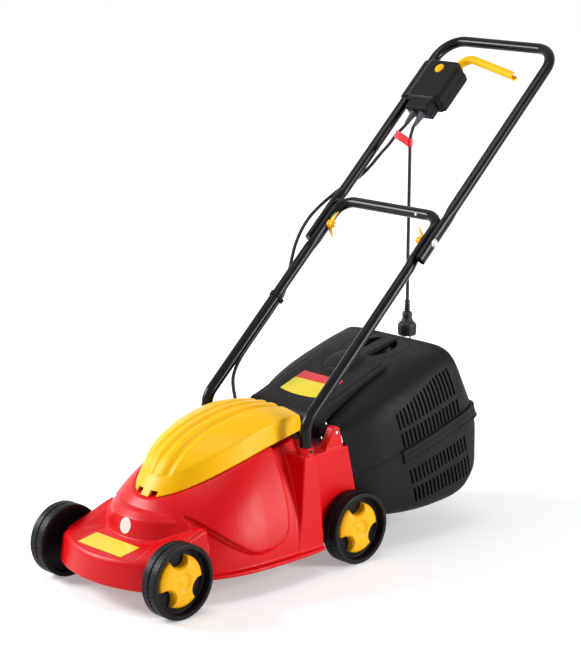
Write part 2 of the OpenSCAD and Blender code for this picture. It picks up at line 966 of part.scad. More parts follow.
module lower_handle() {
    hollow = tube_r - tube_wall;
    color([0.08, 0.08, 0.08])
        difference() {
            shell()
                difference() {
                    tube(concat(lower_leg(1, tube_r), lower_corner(1, tube_r), lower_corner(-1, tube_r),
                        reversed(lower_leg(-1, tube_r))));
                    tube(concat(lower_leg(1, hollow), lower_flat(1), lower_corner(1, vent_r),
                        lower_corner(-1, vent_r), reversed(lower_flat(-1)), reversed(lower_leg(-1, hollow))));
                    mirrored()
                        on_handle()
                            translate([flat_x, -flat_down, -20])
                                cube([20, flat_down + bolt_drop + tube_r + 5, 40]);
                    mirrored()
                        on_handle()
                            translate([leg_x - tube_r - 1, -pad_l / 2, -20])
                                cube([1 + pad_depth, pad_l, 40]);
                }
            mirrored() {
                on_handle()
                    translate([leg_x - 20, 0, 0])
                        rotate([0, 90, 0])
                            cylinder(h = 40, r = bolt_r + 0.3);
                translate([leg_x - 20, socket_y, socket_top - 6])
                    rotate([0, 90, 0])
                        cylinder(h = 40, r = 2.4);
            }
        }
}

module socket_screws() {
    color("dimgray")
        mirrored() {
            translate([leg_x - tube_r - 6, socket_y, socket_top - 6])
                rotate([0, 90, 0])
                    cylinder(h = 2 * tube_r + 10.6, r = 2.1);
            translate([leg_x + tube_r + 4.6, socket_y, socket_top - 6])
                rotate([0, 90, 0])
                    cylinder(h = 2.5, r = 3.6);
        }
}

// The upper handle's path from leg end to leg end, hollow apart from the flats.
function upper_leg(side, r) = [
    [leg_point(side * upper_x, -leg_tail - (r < tube_r ? 1 : 0)), 0, r]];
function upper_flat(side) = [
    [leg_point(side * upper_x, flat_up), 0, vent_r],
    [leg_point(side * upper_x, flat_up + 3), 0, tube_r - tube_wall]];
function upper_corner(side, r) = [[leg_point(side * upper_x, upper_len), top_corner_r, r]];

module upper_handle() {
    hollow = tube_r - tube_wall;
    color([0.08, 0.08, 0.08])
        difference() {
            shell()
                difference() {
                    tube(concat(upper_leg(1, tube_r), upper_corner(1, tube_r), upper_corner(-1, tube_r),
                        upper_leg(-1, tube_r)));
                    tube(concat(upper_leg(1, vent_r), upper_flat(1), upper_corner(1, hollow),
                        upper_corner(-1, hollow), reversed(upper_flat(-1)), upper_leg(-1, vent_r)));
                    mirrored()
                        on_handle()
                            translate([flat_x + side_gap - 20, -leg_tail - 5, -20])
                                cube([20, leg_tail + 5 + flat_up, 40]);
                }
            mirrored()
                on_handle()
                    translate([upper_x - 20, 0, 0])
                        rotate([0, 90, 0])
                            cylinder(h = 40, r = bolt_r + run_gap);
        }
}

module fold_bolts() {
    color("silver")
        mirrored()
            on_handle() {
                translate([nut_x - 22, 0, 0])
                    rotate([0, 90, 0])
                        cylinder(h = upper_x + tube_r - nut_x + 22.6, r = bolt_r);
                translate([upper_x + tube_r + 0.3, 0, 0])
                    rotate([0, 90, 0])
                        cylinder(h = 3.2, r = 7);
            }
}

// A wing nut, its wings opened to the inside of the handle.
module wing_nut() {
    on_handle()
        translate([nut_x, 0, 0])
            rotate([0, -90, 0])
                difference() {
                    union() {
                        cylinder(h = 12, r1 = 9, r2 = 7.5, $fn = 36);
                        for (a = [60, 240])
                            rotate([0, 0, a])
                                hull() {
                                    translate([5, -2, 2])
                                        cube([3, 4, 8]);
                                    translate([23, -1.4, 12])
                                        cube([4, 2.8, 7]);
                                }
                    }
                    translate([0, 0, -1])
                        cylinder(h = 40, r = bolt_r + run_gap);
                }
}

module wing_nut_right() {
    color([1, 0.72, 0.05])
        wing_nut();
}

module wing_nut_left() {
    color([1, 0.72, 0.05])
        mirror([1, 0, 0])
            wing_nut();
}

// ---------- switch box ----------

function case_plan(d) = [[case_x0 + d, case_s + d], [case_x1 - 6 - d, case_s + d], [case_x1 - d, case_s + 8 + d],
    [case_x1 - d, case_s + case_l - 14 - d], [case_x1 - 14 - d, case_s + case_l - d],
    [case_x0 + d, case_s + case_l - d]];

module case_slab(d, n0, n1) {
    translate([0, 0, n0])
        linear_extrude(height = n1 - n0)
            polygon(case_plan(d));
}

module neck_slab(d, n0, n1) {
    translate([neck_x0 + d, neck_s + d, n0])
        cube([neck_x1 - neck_x0 - 2 * d, case_s - neck_s + 1, n1 - n0]);
}

module clamp_slab(n0, n1) {
    translate([-upper_x - tube_r - clamp_wall, clamp_s, n0])
        cube([upper_x + tube_r + clamp_wall + case_x0 + 1, clamp_l, n1 - n0]);
}

module clamp_bore() {
    translate([-upper_x, 0, 0])
        rotate([-90, 0, 0])
            cylinder(h = upper_len, r = tube_r + 0.05);
}

module case_posts(n0, n1, r) {
    for (p = case_screws)
        translate([p[0], p[1], n0])
            cylinder(h = n1 - n0, r = r);
}

module gland_holes() {
    for (x = [motor_gland_x, lead_gland_x])
        translate([x, neck_s - 5, gland_n])
            rotate([-90, 0, 0])
                cylinder(h = 10, r = gland_r - 1.5 + 0.1);
}

module switch_box_front() {
    color([0.1, 0.1, 0.1])
        on_handle()
            difference() {
                union() {
                    difference() {
                        union() {
                            case_slab(0, split_n, case_h - 4);
                            hull() {
                                case_slab(0, case_h - 4.01, case_h - 4);
                                case_slab(5, case_h - 0.01, case_h);
                            }
                            neck_slab(0, split_n, case_h - 6);
                            clamp_slab(split_n, tube_r + clamp_wall);
                        }
                        case_slab(case_wall, split_n - 1, case_h - case_wall - 2);
                        translate([0, 0, split_n - 1])
                            neck_slab(case_wall, 0, case_h - 6 - case_wall - split_n);
                    }
                    case_posts(split_n, case_h - 3, 4);
                }
                clamp_bore();
                translate([button_x, button_s, 0])
                    cylinder(h = 60, r = button_d / 2 + 0.3);
                case_posts(0, case_h - 8, screw_r);
                gland_holes();
            }
}

module switch_box_back() {
    color([0.12, 0.12, 0.12])
        on_handle()
            difference() {
                union() {
                    difference() {
                        union() {
                            case_slab(0, case_low, split_n - 0.2);
                            neck_slab(0, case_low + 6, split_n - 0.2);
                            clamp_slab(case_low, split_n - 0.2);
                        }
                        case_slab(case_wall, case_low + case_wall, split_n + 1);
                        translate([0, 0, case_low + 6 + case_wall])
                            neck_slab(case_wall, 0, far);
                    }
                    case_posts(case_low + 1, split_n - 0.2, 4);
                }
                clamp_bore();
                case_posts(case_low - 1, split_n + 1, screw_r + 0.3);
                gland_holes();
                lever_window();
            }
}

// Room for the switch lever where it leaves the box.
module lever_window() {
    translate([lever_x - lever_d / 2 - 5, lever_s + 2, lever_n - lever_d / 2 - 0.5])
        cube([lever_d + 38, 60, lever_d / 2 + split_n - lever_n + 1]);
}

module switch_box_screws() {
    color("dimgray")
        on_handle() {
            case_posts(case_low - 2.2, case_low, 3.2);
            case_posts(case_low - 1, case_h - 9, screw_r);
        }
}

module switch_block() {
    color("ivory")
        on_handle()
            translate([button_x - 16, button_s - 44, block_low])
                cube([26, 52, block_h]);
}

module safety_button() {
    color([1, 0.72, 0.05])
        on_handle()
            translate([button_x, button_s, 0]) {
                translate([0, 0, case_h - 6])
                    cylinder(h = 7, r = button_d / 2);
                translate([0, 0, block_top + button_travel + 0.4])
                    cylinder(h = case_h - 5.9 - block_top - button_travel - 0.4, r = 3);
            }
}

module button_spring() {
    color("silver")
        on_handle()
            translate([button_x, button_s, block_top + 0.05])
                ring(case_h - 6 - block_top - 0.1, 5.6, 4.6);
}

// The one-armed lever lies under the grip bar and swings towards it.
module switch_lever() {
    r = lever_d / 2;
    color([1, 0.75, 0.02])
        on_handle()
            difference() {
                shell() {
                    tube([[[lever_x, lever_s + 12, lever_n], 0, r], [[lever_x, 466, lever_n], 24, r],
                        [[84, 428, lever_n], 0, r]]);
                    translate([lever_x, lever_s, lever_n - 5])
                        cylinder(h = 10, r = 7.5);
                    translate([lever_x - 5.5, lever_s, lever_n - 4.5])
                        cube([11, 15, 9]);
                }
                translate([lever_x, lever_s, lever_n - 10])
                    cylinder(h = 20, r = 2.5 + run_gap);
            }
}

module lever_pin() {
    color("silver")
        on_handle()
            translate([lever_x, lever_s, case_low + case_wall + 0.05])
                cylinder(h = case_h - 2 * case_wall - 2.1 - case_low, r = 2.5);
}

module gland(x) {
    on_handle()
        translate([x, neck_s, gland_n])
            rotate([90, 0, 0])
                difference() {
                    union() {
                        cylinder(h = gland_l, r1 = gland_r, r2 = gland_r - 1.6);
                        translate([0, 0, -case_wall - 2])
                            cylinder(h = case_wall + 2.01, r = gland_r - 1.5);
                    }
                    translate([0, 0, -20])
                        cylinder(h = 30, r = cable_d / 2 - 0.5);
                }
}

module motor_cable_gland() {
    color("dimgray")
        gland(motor_gland_x);
}

module mains_gland() {
    color("dimgray")
        gland(lead_gland_x);
}

// ---------- cables ----------

// The end of a gland, where its cable starts.
function gland_end(x) = leg_point(x, neck_s - gland_l) + [0, -gland_n * sin(slope), gland_n * cos(slope)];

function from_gland(x, route) = concat([gland_end(x), gland_end(x) + [0, -6 * cos(slope), -6 * sin(slope)]],
    [for (i = [2:len(route) - 1]) route[i]]);

module handle_cable() {
    color([0.1, 0.1, 0.1])
        cable(from_gland(motor_gland_x, motor_route), 0, fold_from);
}

module fold_cable() {
    color([0.1, 0.1, 0.1])
        cable(motor_route, fold_from, fold_to);
}

module deck_cable() {
    color([0.1, 0.1, 0.1])
        cable(motor_route, fold_to);
}

module cable_clip() {
    s = -190;
    color("black")
        on_handle()
            translate([-leg_x, s - 5, 0])
                rotate([-90, 0, 0])
                    difference() {
                        union() {
                            cylinder(h = 10, r = tube_r + 2.2);
                            translate([-5.6, 0, 0])
                                cube([11.2, tube_r + cable_d + 3, 10]);
                        }
                        translate([0, 0, -1])
                            cylinder(h = 12, r = tube_r + 0.1);
                        translate([0, tube_r + cable_d / 2 + 0.6, -1])
                            cylinder(h = 12, r = cable_d / 2 + 0.4);
                    }
}

// A plain tag folded round the lead, its flag to the front.
module cable_tag() {
    at = lead_route[3];
    color([0.86, 0.05, 0.07])
        difference() {
            union() {
                translate(at - [0, 0, 9])
                    cylinder(h = 16, r = cable_d / 2 + 2);
                side_plate(at[0] - 0.4, at[0] + 0.4, [[at[1] - 1, at[2] - 9], [at[1] - 1, at[2] + 7],
                    [at[1] - 38, at[2] + 29], [at[1] - 49, at[2] + 15]]);
            }
            translate(at - [0, 0, 30])
                cylinder(h = 60, r = cable_d / 2 + 1.3);
        }
}

module mains_lead() {
    color([0.1, 0.1, 0.1])
        cable(from_gland(lead_gland_x, lead_route));
}

// A round two-pin plug that hangs from its strain relief.
module plug() {
    r = plug_d / 2;
    color([0.1, 0.1, 0.1])
        translate(plug_at)
            difference() {
                rotate([180, 0, 0])
                    rotate_extrude()
                        polygon([[0, 0], [5.5, 0], [6.5, 24], [9.5, 26], [11, 30], [10, 36], [12, 42],
                            [r - 1, 50], [r, 52], [r, plug_l - 1], [r - 1, plug_l], [0, plug_l]]);
                for (x = [-pin_x, pin_x])
                    translate([x, 0, -plug_l - 1])
                        cylinder(h = pin_root + 1, r = pin_d / 2 - 0.2);
            }
}

module plug_pins() {
    color("goldenrod")
        translate(plug_at)
            for (x = [-pin_x, pin_x])
                translate([x, 0, -plug_l - pin_l]) {
                    cylinder(h = pin_l, r = pin_d / 2);
                    cylinder(h = pin_l + pin_root, r = pin_d / 2 - 0.2);
                }
}

// ---------- flap ----------

function flap_point(d, n) = [flap_front + d * cos(flap_slope) - n * sin(flap_slope),
    flap_top + d * sin(flap_slope) + n * cos(flap_slope)];

module rear_flap() {
    half = flap_w / 2;
    end = flap_point(flap_l, 0);
    under = flap_point(flap_l, -flap_t);
    knee = flap_point(6, -flap_t);
    color([0.14, 0.14, 0.14])
        difference() {
            union() {
                side_plate(-half, half, [[183, 238], [181, 276], [184, 284], [flap_front, flap_top], end, under,
                    knee, [187, 282], [184 + flap_t - 1, 274], [183 + flap_t, 238]]);
                for (x = [-half, half - flap_t])
                    side_plate(x, x + flap_t, [[183, 238], [181, 276], [184, 284], [flap_front, flap_top], end,
                        flap_point(flap_l, -8), [300, 315], [230, 280], [215, 271], [208, 262], [204, 246]]);
                translate([-half, rod_y, rod_z])
                    rotate([0, 90, 0])
                        cylinder(h = flap_w, r = rod_r + 2.5);
                side_plate(-half, half, [[184, rod_z - 1.5], [rod_y - 2, rod_z - 1.5], [rod_y - 2, rod_z + 1.5],
                    [184, rod_z + 1.5]]);
            }
            translate([-half - 1, rod_y, rod_z])
                rotate([0, 90, 0])
                    cylinder(h = flap_w + 2, r = rod_r + run_gap);
            translate([spring_x, rod_y - 12, rod_z - 14])
                cube([22, 24, 24]);
        }
}

module flap_rod() {
    reach = ear_x + ear_t + 1.5;
    color("silver")
        translate([-reach, rod_y, rod_z])
            rotate([0, 90, 0])
                cylinder(h = 2 * reach, r = rod_r);
}

module flap_spring() {
    color("silver")
        for (i = [0:5])
            translate([spring_x + 4 + 2.2 * i, rod_y, rod_z])
                rotate([0, 90, 0])
                    rotate_extrude()
                        translate([rod_r + 1.3, 0])
                            circle(r = 1);
}

// ---------- catcher ----------

function catcher_rings(inset) = [for (row = catcher_rows)
    let (a = row[1] * catcher_w / 2 - inset, mid = (row[2] + row[3]) / 2,
         b = (row[3] - row[2]) / 2 - inset,
         y = row[0] + (row[0] < 200 && inset > 0 ? -10 : 0) - (row[0] > 540 ? inset : 0))
    [for (i = [0:catcher_ring - 1])
        let (t = 90 - (i + 0.5) * 360 / catcher_ring,
             n = sin(t) > 0 ? row[4] : catcher_n,
             narrow = sin(t) > 0 ? 1 - row[5] * pow(sin(t), 4 / n) : 1)
        [a * narrow * power(cos(t), 2 / n), y, mid + b * power(sin(t), 2 / n)]]];

// Everything above (or below) the belt's slanting plane, shifted by a height.
module belt_half(shift, above) {
    translate([0, belt_y, belt_z + shift])
        rotate([belt_slope, 0, 0])
            translate([-far / 2, -far / 2, above ? 0 : -far])
                cube([far, far, far]);
}

// Everything ahead of the catcher's mouth, which lies against the deck's slanting rear.
module mouth_cut() {
    translate([0, box_foot + mouth_gap, box_knee])
        rotate([atan((box_foot - box_head) / (box_top - box_knee)), 0, 0])
            translate([-far / 2, -far, -far / 2])
                cube([far, far, far]);
}

module air_slots(rows) {
    translate([0, belt_y, belt_z])
        rotate([belt_slope, 0, 0])
            for (row = rows)
                for (i = [0:row[1]])
                    translate([0, row[0] + i * slot_pitch, row[2]])
                        side_plate(-far / 2, far / 2, [[0, -slot_w / 2], [slot_w / 2, 0],
                            [slot_w / 2, row[3] - slot_w], [0, row[3] - slot_w / 2],
                            [-slot_w / 2, row[3] - slot_w], [-slot_w / 2, 0]]);
}

module catcher_upper() {
    color([0.13, 0.13, 0.13])
        shell()
            difference() {
                union() {
                    intersection() {
                        skin(catcher_rings(0));
                        belt_half(0.1, true);
                    }
                    intersection() {
                        skin(catcher_rings(-belt_t));
                        belt_half(0.1, true);
                        belt_half(belt_h, false);
                    }
                    mirrored()
                        translate([104, 186, rod_z + rod_r + seat_gap])
                            cube([15.4, 60, 4]);
                }
                difference() {
                    skin(catcher_rings(catcher_wall));
                    mirrored()
                        translate([104, 186, rod_z + rod_r + seat_gap])
                            cube([40, 50, 4]);
                }
                difference() {
                    mouth_cut();
                    mirrored()
                        translate([104, 186, rod_z + rod_r + seat_gap])
                            cube([15.4, 60, 4]);
                }
                air_slots([slot_rows[0], slot_rows[1]]);
                // finger recess on both sides of the carrying bar
                for (x = [-44, 16])
                    translate([x, 398, 320])
                        cube([28, 86, 90]);
            }
}

module catcher_lower() {
    color([0.13, 0.13, 0.13])
        shell()
            difference() {
                union() {
                    intersection() {
                        skin(catcher_rings(0));
                        belt_half(0, false);
                    }
                    intersection() {
                        skin(catcher_rings(-belt_t));
                        belt_half(0, false);
                        belt_half(-belt_drop, true);
                    }
                }
                skin(catcher_rings(catcher_wall));
                mouth_cut();
                air_slots([slot_rows[2], slot_rows[3]]);
            }
}

place() deck();
place() motor_cover();
place() cover_screws();
place() motor_yoke();
place() motor_lower_plate();
place() motor_upper_plate();
place() motor_screws();
place() armature();
place() spindle();
place() lower_bearing();
place() upper_bearing();
place() carbon_brushes();
place() cooling_fan();
place() blade_carrier();
place() blade();
place() blade_washer();
place() blade_bolt();
place() front_axle();
place() rear_axle();
place() axle_clamps();
place() push_nuts();
place() wheel_front_right();
place() wheel_front_left();
place() wheel_rear_right();
place() wheel_rear_left();
place() hub_front_right();
place() hub_front_left();
place() hub_rear_right();
place() hub_rear_left();
place() lower_handle();
place() socket_screws();
place() upper_handle();
place() fold_bolts();
place() wing_nut_right();
place() wing_nut_left();
place() switch_box_front();
place() switch_box_back();
place() switch_box_screws();
place() switch_block();
place() safety_button();
place() button_spring();
place() switch_lever();
place() lever_pin();
place() motor_cable_gland();
place() mains_gland();
place() handle_cable();
place() fold_cable();
place() deck_cable();
place() cable_clip();
place() cable_tag();
place() mains_lead();
place() plug();
place() plug_pins();
place() rear_flap();
place() flap_rod();
place() flap_spring();
place() catcher_upper();
place() catcher_lower();
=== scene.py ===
# %% [markdown]
# # A corded electric lawn mower
# The machine is a red moulded deck with a yellow motor cover, four black wheels with yellow
# caps, a folding tube handle with a switch box, a rear flap and a black grass catcher.
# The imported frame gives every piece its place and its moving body. This script dresses that
# frame: each visible piece is modelled again at full smoothness and gets its real finish.

# %% Frame
import json
import math

import bmesh
import bpy
import numpy as np
from mathutils import Matrix, Vector


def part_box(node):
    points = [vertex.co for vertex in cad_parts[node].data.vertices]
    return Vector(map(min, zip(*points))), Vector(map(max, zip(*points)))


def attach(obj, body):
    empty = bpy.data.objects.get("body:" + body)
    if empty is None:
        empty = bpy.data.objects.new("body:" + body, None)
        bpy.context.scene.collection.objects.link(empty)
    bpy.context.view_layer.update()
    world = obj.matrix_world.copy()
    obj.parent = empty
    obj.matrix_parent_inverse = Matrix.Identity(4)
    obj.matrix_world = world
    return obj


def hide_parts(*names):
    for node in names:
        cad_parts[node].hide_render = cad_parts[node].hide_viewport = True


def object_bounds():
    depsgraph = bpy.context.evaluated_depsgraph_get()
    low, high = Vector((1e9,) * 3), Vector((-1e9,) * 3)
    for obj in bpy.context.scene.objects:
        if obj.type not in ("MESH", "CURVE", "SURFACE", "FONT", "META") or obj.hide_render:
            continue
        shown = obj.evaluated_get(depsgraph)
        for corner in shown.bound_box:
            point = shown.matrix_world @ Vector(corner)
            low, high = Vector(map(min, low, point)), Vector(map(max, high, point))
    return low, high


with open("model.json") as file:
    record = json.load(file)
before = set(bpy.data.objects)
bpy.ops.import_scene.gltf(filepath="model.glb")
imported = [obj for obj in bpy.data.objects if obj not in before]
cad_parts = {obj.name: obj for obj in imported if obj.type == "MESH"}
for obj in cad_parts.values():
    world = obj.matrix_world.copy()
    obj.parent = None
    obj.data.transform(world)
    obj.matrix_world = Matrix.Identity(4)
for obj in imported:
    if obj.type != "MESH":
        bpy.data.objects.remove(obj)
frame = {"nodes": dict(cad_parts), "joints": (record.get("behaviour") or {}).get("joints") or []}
cad_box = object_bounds()
cad_box = [list(corner) for corner in cad_box]

# %% [markdown]
# ## Where things are
# All shapes below are drawn in millimetres, with the origin on the ground under the middle of
# the wheelbase, because that is how the machine is laid out. The frame's own origin lies
# further back, so one shift along the machine takes a drawing into the frame.

# %% Places from the frame
MM = 0.001


def middle(node):
    low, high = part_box(node)
    return (low + high) / 2


wheel_spots = {side + "_" + hand: middle("wheel_" + side + "_" + hand)
               for side in ("front", "rear") for hand in ("right", "left")}
shift_y = (wheel_spots["front_right"].y + wheel_spots["rear_right"].y) / 2 / MM
wheel_x = wheel_spots["front_right"].x / MM
wheel_r = wheel_spots["front_right"].z / MM
joints = {j["name"]: j for j in frame["joints"]}
fold = [v / MM for v in joints["handle_fold"]["pos_m"]]
bolt_y, bolt_z = fold[1] - shift_y, fold[2]
press = joints["button_press"]["axis"]
slope = math.atan2(press[1], -press[2])
print("machine's middle at y =", round(shift_y, 2), "mm, handle slope", round(math.degrees(slope), 2))


def on_handle(x, s, n):
    """A point on the handle: x across, s up the slope from the fold bolts, n out of its plane."""
    return np.array([x, bolt_y + s * math.cos(slope) - n * math.sin(slope),
                     bolt_z + s * math.sin(slope) + n * math.cos(slope)])


# %% [markdown]
# ## The camera
# A long lens from the right-hand front, a little above the machine, keeps its lines nearly
# parallel. The camera comes first, because a cord has to lie inside its view.

# %% Camera
CAMERA_AT = (3003.5, -2632.7, 1389.4)
CAMERA_TURN = 46.6
CAMERA_TILT = 12.99
SENSOR = 36
LENS = 120.42



def in_scene(name, data):
    """An object of that name around its data, linked to the scene."""
    made = bpy.data.objects.new(name, data)
    bpy.context.scene.collection.objects.link(made)
    return made


camera = bpy.data.cameras.new("camera")
camera.sensor_fit = "VERTICAL"
camera.sensor_height = SENSOR
camera.lens = LENS
camera.clip_end = 60
camera_spot = in_scene("camera", camera)
bpy.context.scene.camera = camera_spot
camera_spot.location = [v * MM for v in (CAMERA_AT[0], CAMERA_AT[1] + shift_y, CAMERA_AT[2])]
camera_spot.rotation_euler = (math.radians(90 - CAMERA_TILT), 0, math.radians(CAMERA_TURN))
print("lens", camera.lens, "mm")

# %% [markdown]
# ## Small tools for colours and nodes
# Colours are written as the hex values a maker would give. Blender mixes light in linear
# values, so one function turns them. One more adds a shader node with its settings and links.

# %% Colour and node helpers


def colour(code):
    """A hex value as linear red, green, blue and a full alpha."""
    values = [int(code[i:i + 2], 16) / 255 for i in (1, 3, 5)]
    return [v / 12.92 if v <= 0.04045 else ((v + 0.055) / 1.055) ** 2.4 for v in values] + [1.0]


def add_node(tree, kind, settings=None, **inputs):
    """Adds a node; settings are its properties, inputs are values or sockets to link."""
    made = tree.nodes.new(kind)
    for name, value in (settings or {}).items():
        setattr(made, name, value)
    for name, value in inputs.items():
        name = int(name[1:]) if name[0] == "_" and name[1:].isdigit() else name.replace("_", " ")
        if isinstance(value, bpy.types.NodeSocket):
            tree.links.new(value, made.inputs[name])
        else:
            made.inputs[name].default_value = value
    return made


def start_material(name, **sockets):
    """A new material, its nodes, its shader with these values, and the place that patterns follow."""
    material = bpy.data.materials.new(name)
    material.use_nodes = True
    tree = material.node_tree
    shader = tree.nodes["Principled BSDF"]
    for socket, value in sockets.items():
        shader.inputs[socket.replace("_", " ")].default_value = value
    place = add_node(tree, "ShaderNodeTexCoord").outputs["Object"]
    return material, tree, shader, place


def link(tree, source, target):
    tree.links.new(source, target)


# %% [markdown]
# ## Moulded plastics
# The deck, cover and catcher are injection-moulded polypropylene (PP). Its surface copies the
# mould: polished steel gives the red and yellow their gloss, spark-eroded steel gives the black
# a fine grain. A moulding is never perfectly flat, so a slow noise bends the highlights a
# little and varies the colour by a few percent. Dust and handling dull it in patches.

# %% Moulded polypropylene
PP_IOR = 1.49
# How far the skin of a moulding waves over its length, in millimetres.
RIPPLE_MM = 0.4


def moulded_pp(name, hexes, roughness, dull, grain_mm, depth_mm, gloss):
    """Polypropylene from a mould: hexes are its shaded and its lit shade, roughness is that of
    clean patches and dull of handled ones, grain and depth are the mould's texture."""
    material, tree, shader, place = start_material(name, IOR=PP_IOR, Specular_IOR_Level=gloss)
    cloud = add_node(tree, "ShaderNodeTexNoise", Vector=place, Scale=14.0, Detail=3.0)
    shade = add_node(tree, "ShaderNodeMixRGB", Fac=cloud.outputs["Fac"],
                     Color1=colour(hexes[0]), Color2=colour(hexes[1]))
    link(tree, shade.outputs["Color"], shader.inputs["Base Color"])
    patch = add_node(tree, "ShaderNodeTexNoise", Vector=place, Scale=38.0, Detail=5.0, Roughness=0.6)
    spread = add_node(tree, "ShaderNodeMapRange", _0=patch.outputs["Fac"], _1=0.3, _2=0.7,
                      _3=roughness, _4=dull)
    link(tree, spread.outputs["Result"], shader.inputs["Roughness"])
    grain = add_node(tree, "ShaderNodeTexNoise", Vector=place, Scale=1 / (grain_mm * MM), Detail=2.0)
    ripple = add_node(tree, "ShaderNodeTexNoise", Vector=place, Scale=9.0, Detail=1.0)
    fine = add_node(tree, "ShaderNodeBump", Strength=1.0, Distance=depth_mm * MM,
                    Height=grain.outputs["Fac"])
    slow = add_node(tree, "ShaderNodeBump", Strength=1.0, Distance=RIPPLE_MM * MM,
                    Height=ripple.outputs["Fac"], Normal=fine.outputs["Normal"])
    link(tree, slow.outputs["Normal"], shader.inputs["Normal"])
    return material


# Polished mould, strong red pigment: a broad soft highlight that goes to pink.
red_pp = moulded_pp("red_moulded_polypropylene", ("#D0000A", "#DE040E"), roughness=0.30, dull=0.40,
                    grain_mm=1.6, depth_mm=0.012, gloss=0.22)
# The same mould finish in golden yellow; pale and lively in the light, orange in the shade.
yellow_pp = moulded_pp("yellow_moulded_polypropylene", ("#FFB800", "#FFC600"), roughness=0.32, dull=0.40,
                       grain_mm=1.6, depth_mm=0.012, gloss=0.18)
# Spark-eroded mould, carbon black: a soft satin that greys where light grazes it. The real
# grain of 0.3 mm would not show, so it is drawn at 1.2 mm. Carbon swallows most of the gloss.
black_pp = moulded_pp("black_grained_polypropylene", ("#0E0E0F", "#161718"), roughness=0.44, dull=0.54,
                      grain_mm=1.2, depth_mm=0.05, gloss=0.12)
# Wheel plastic: black, a little glossier than the catcher, with a coarser grain.
wheel_pp = moulded_pp("black_wheel_polypropylene", ("#0D0D0E", "#151617"), roughness=0.36, dull=0.50,
                      grain_mm=1.4, depth_mm=0.05, gloss=0.16)
# Glass-filled nylon of the switch box: charcoal, with the dry look that glass fibres give.
nylon = moulded_pp("charcoal_glass_filled_nylon", ("#0E0D0C", "#161413"), roughness=0.40, dull=0.5,
                   grain_mm=1.0, depth_mm=0.04, gloss=0.12)
# Hub caps, wing nuts and button: the same yellow, slightly more orange in their thick walls.
amber_pp = moulded_pp("amber_moulded_polypropylene", ("#FFAE00", "#FFC000"), roughness=0.28, dull=0.36,
                      grain_mm=1.6, depth_mm=0.01, gloss=0.26)
print("red", red_pp.name, "and", yellow_pp.name, "share IOR", PP_IOR)

# %% [markdown]
# ## Powder coat, PVC and metals
# The handle is steel tube with a baked black powder coat. It flows out to a gloss with a slight
# orange peel, which breaks up the long highlights. Cables are soft PVC, screws are zinc-plated
# steel, the motor's end plates are cast aluminium.

# %% Powder-coated steel tube


def powder_coat():
    """Orange peel is waves of about 2 mm, too low to see except in a highlight."""
    material, tree, shader, place = start_material("black_powder_coated_steel", Base_Color=colour("#080707"),
                                                   Roughness=0.14, Specular_IOR_Level=0.18)
    peel = add_node(tree, "ShaderNodeTexNoise", Vector=place, Scale=1 / (2.2 * MM), Detail=1.0)
    bump = add_node(tree, "ShaderNodeBump", Strength=1.0, Distance=0.012 * MM, Height=peel.outputs["Fac"])
    link(tree, bump.outputs["Normal"], shader.inputs["Normal"])
    return material


tube_coat = powder_coat()
print("tubes:", tube_coat.name)

# %% Cables and metals


def rubbed(name, code, noise, spread, relief_mm, **sockets):
    """One colour, whose gloss and fine relief follow the same noise. noise is its scale and
    detail, spread is its low and high value and the roughness at each."""
    material, tree, shader, place = start_material(name, Base_Color=colour(code), **sockets)
    rub = add_node(tree, "ShaderNodeTexNoise", Vector=place, Scale=noise[0], Detail=noise[1])
    gloss = add_node(tree, "ShaderNodeMapRange", _0=rub.outputs["Fac"], _1=spread[0], _2=spread[1],
                     _3=spread[2], _4=spread[3])
    link(tree, gloss.outputs["Result"], shader.inputs["Roughness"])
    bump = add_node(tree, "ShaderNodeBump", Strength=1.0, Distance=relief_mm * MM, Height=rub.outputs["Fac"])
    link(tree, bump.outputs["Normal"], shader.inputs["Normal"])
    return material


def soft_pvc(name, code, roughness):
    """Extruded or moulded PVC: satin, with a faint unevenness that softens its highlight."""
    return rubbed(name, code, (120.0, 3.0), (0.3, 0.7, roughness - 0.06, roughness + 0.08), 0.03,
                  Specular_IOR_Level=0.28)


def metal(name, code, roughness, scratch_mm, metallic=1.0):
    """Bare or plated metal: fine scratches in all directions from tumbling and handling."""
    return rubbed(name, code, (1 / (scratch_mm * MM), 6.0), (0.25, 0.75, roughness * 0.7, roughness * 1.4),
                  0.02, Metallic=metallic)


cable_pvc = soft_pvc("black_pvc_jacket", "#1C1C1C", 0.42)
gland_pvc = soft_pvc("grey_pvc_strain_relief", "#55585A", 0.5)
# The switch block's resin has the same satin.
block_resin = soft_pvc("ivory_switch_resin", "#CFC8B0", 0.45)
# Zinc plate is bright and pale; cast aluminium is greyer and rougher from its mould.
zinc_steel = metal("zinc_plated_steel", "#C6C8CA", 0.25, 1.5)
cast_alloy = metal("die_cast_aluminium", "#B9BBBD", 0.45, 3.0)
# Stacked iron sheets and phosphated steel are dark and matt; nickelled pins are warm and bright.
lamination = metal("laminated_iron", "#6E6C69", 0.5, 2.0)
black_steel = metal("phosphated_steel", "#3A3A3C", 0.45, 3.0)
pin_brass = metal("nickelled_brass", "#CDBE9A", 0.25, 1.5)
# Pressed carbon is no metal to the eye: nearly black and dull.
carbon = metal("pressed_carbon", "#2A2A2A", 0.6, 1.0, metallic=0.0)
print("metal colours:", [m.name for m in (zinc_steel, cast_alloy, lamination, black_steel, pin_brass)])

# %% Printed film


def printed_film(name, code):
    """A sticker: smooth printed film, a touch glossier than what it lies on."""
    material, tree, shader, place = start_material(name, Roughness=0.25)
    ink = add_node(tree, "ShaderNodeTexNoise", Vector=place, Scale=60.0, Detail=2.0)
    shade = add_node(tree, "ShaderNodeMixRGB", Fac=ink.outputs["Fac"], Color1=colour(code),
                     Color2=[v * 0.93 for v in colour(code)[:3]] + [1])
    link(tree, shade.outputs["Color"], shader.inputs["Base Color"])
    return material


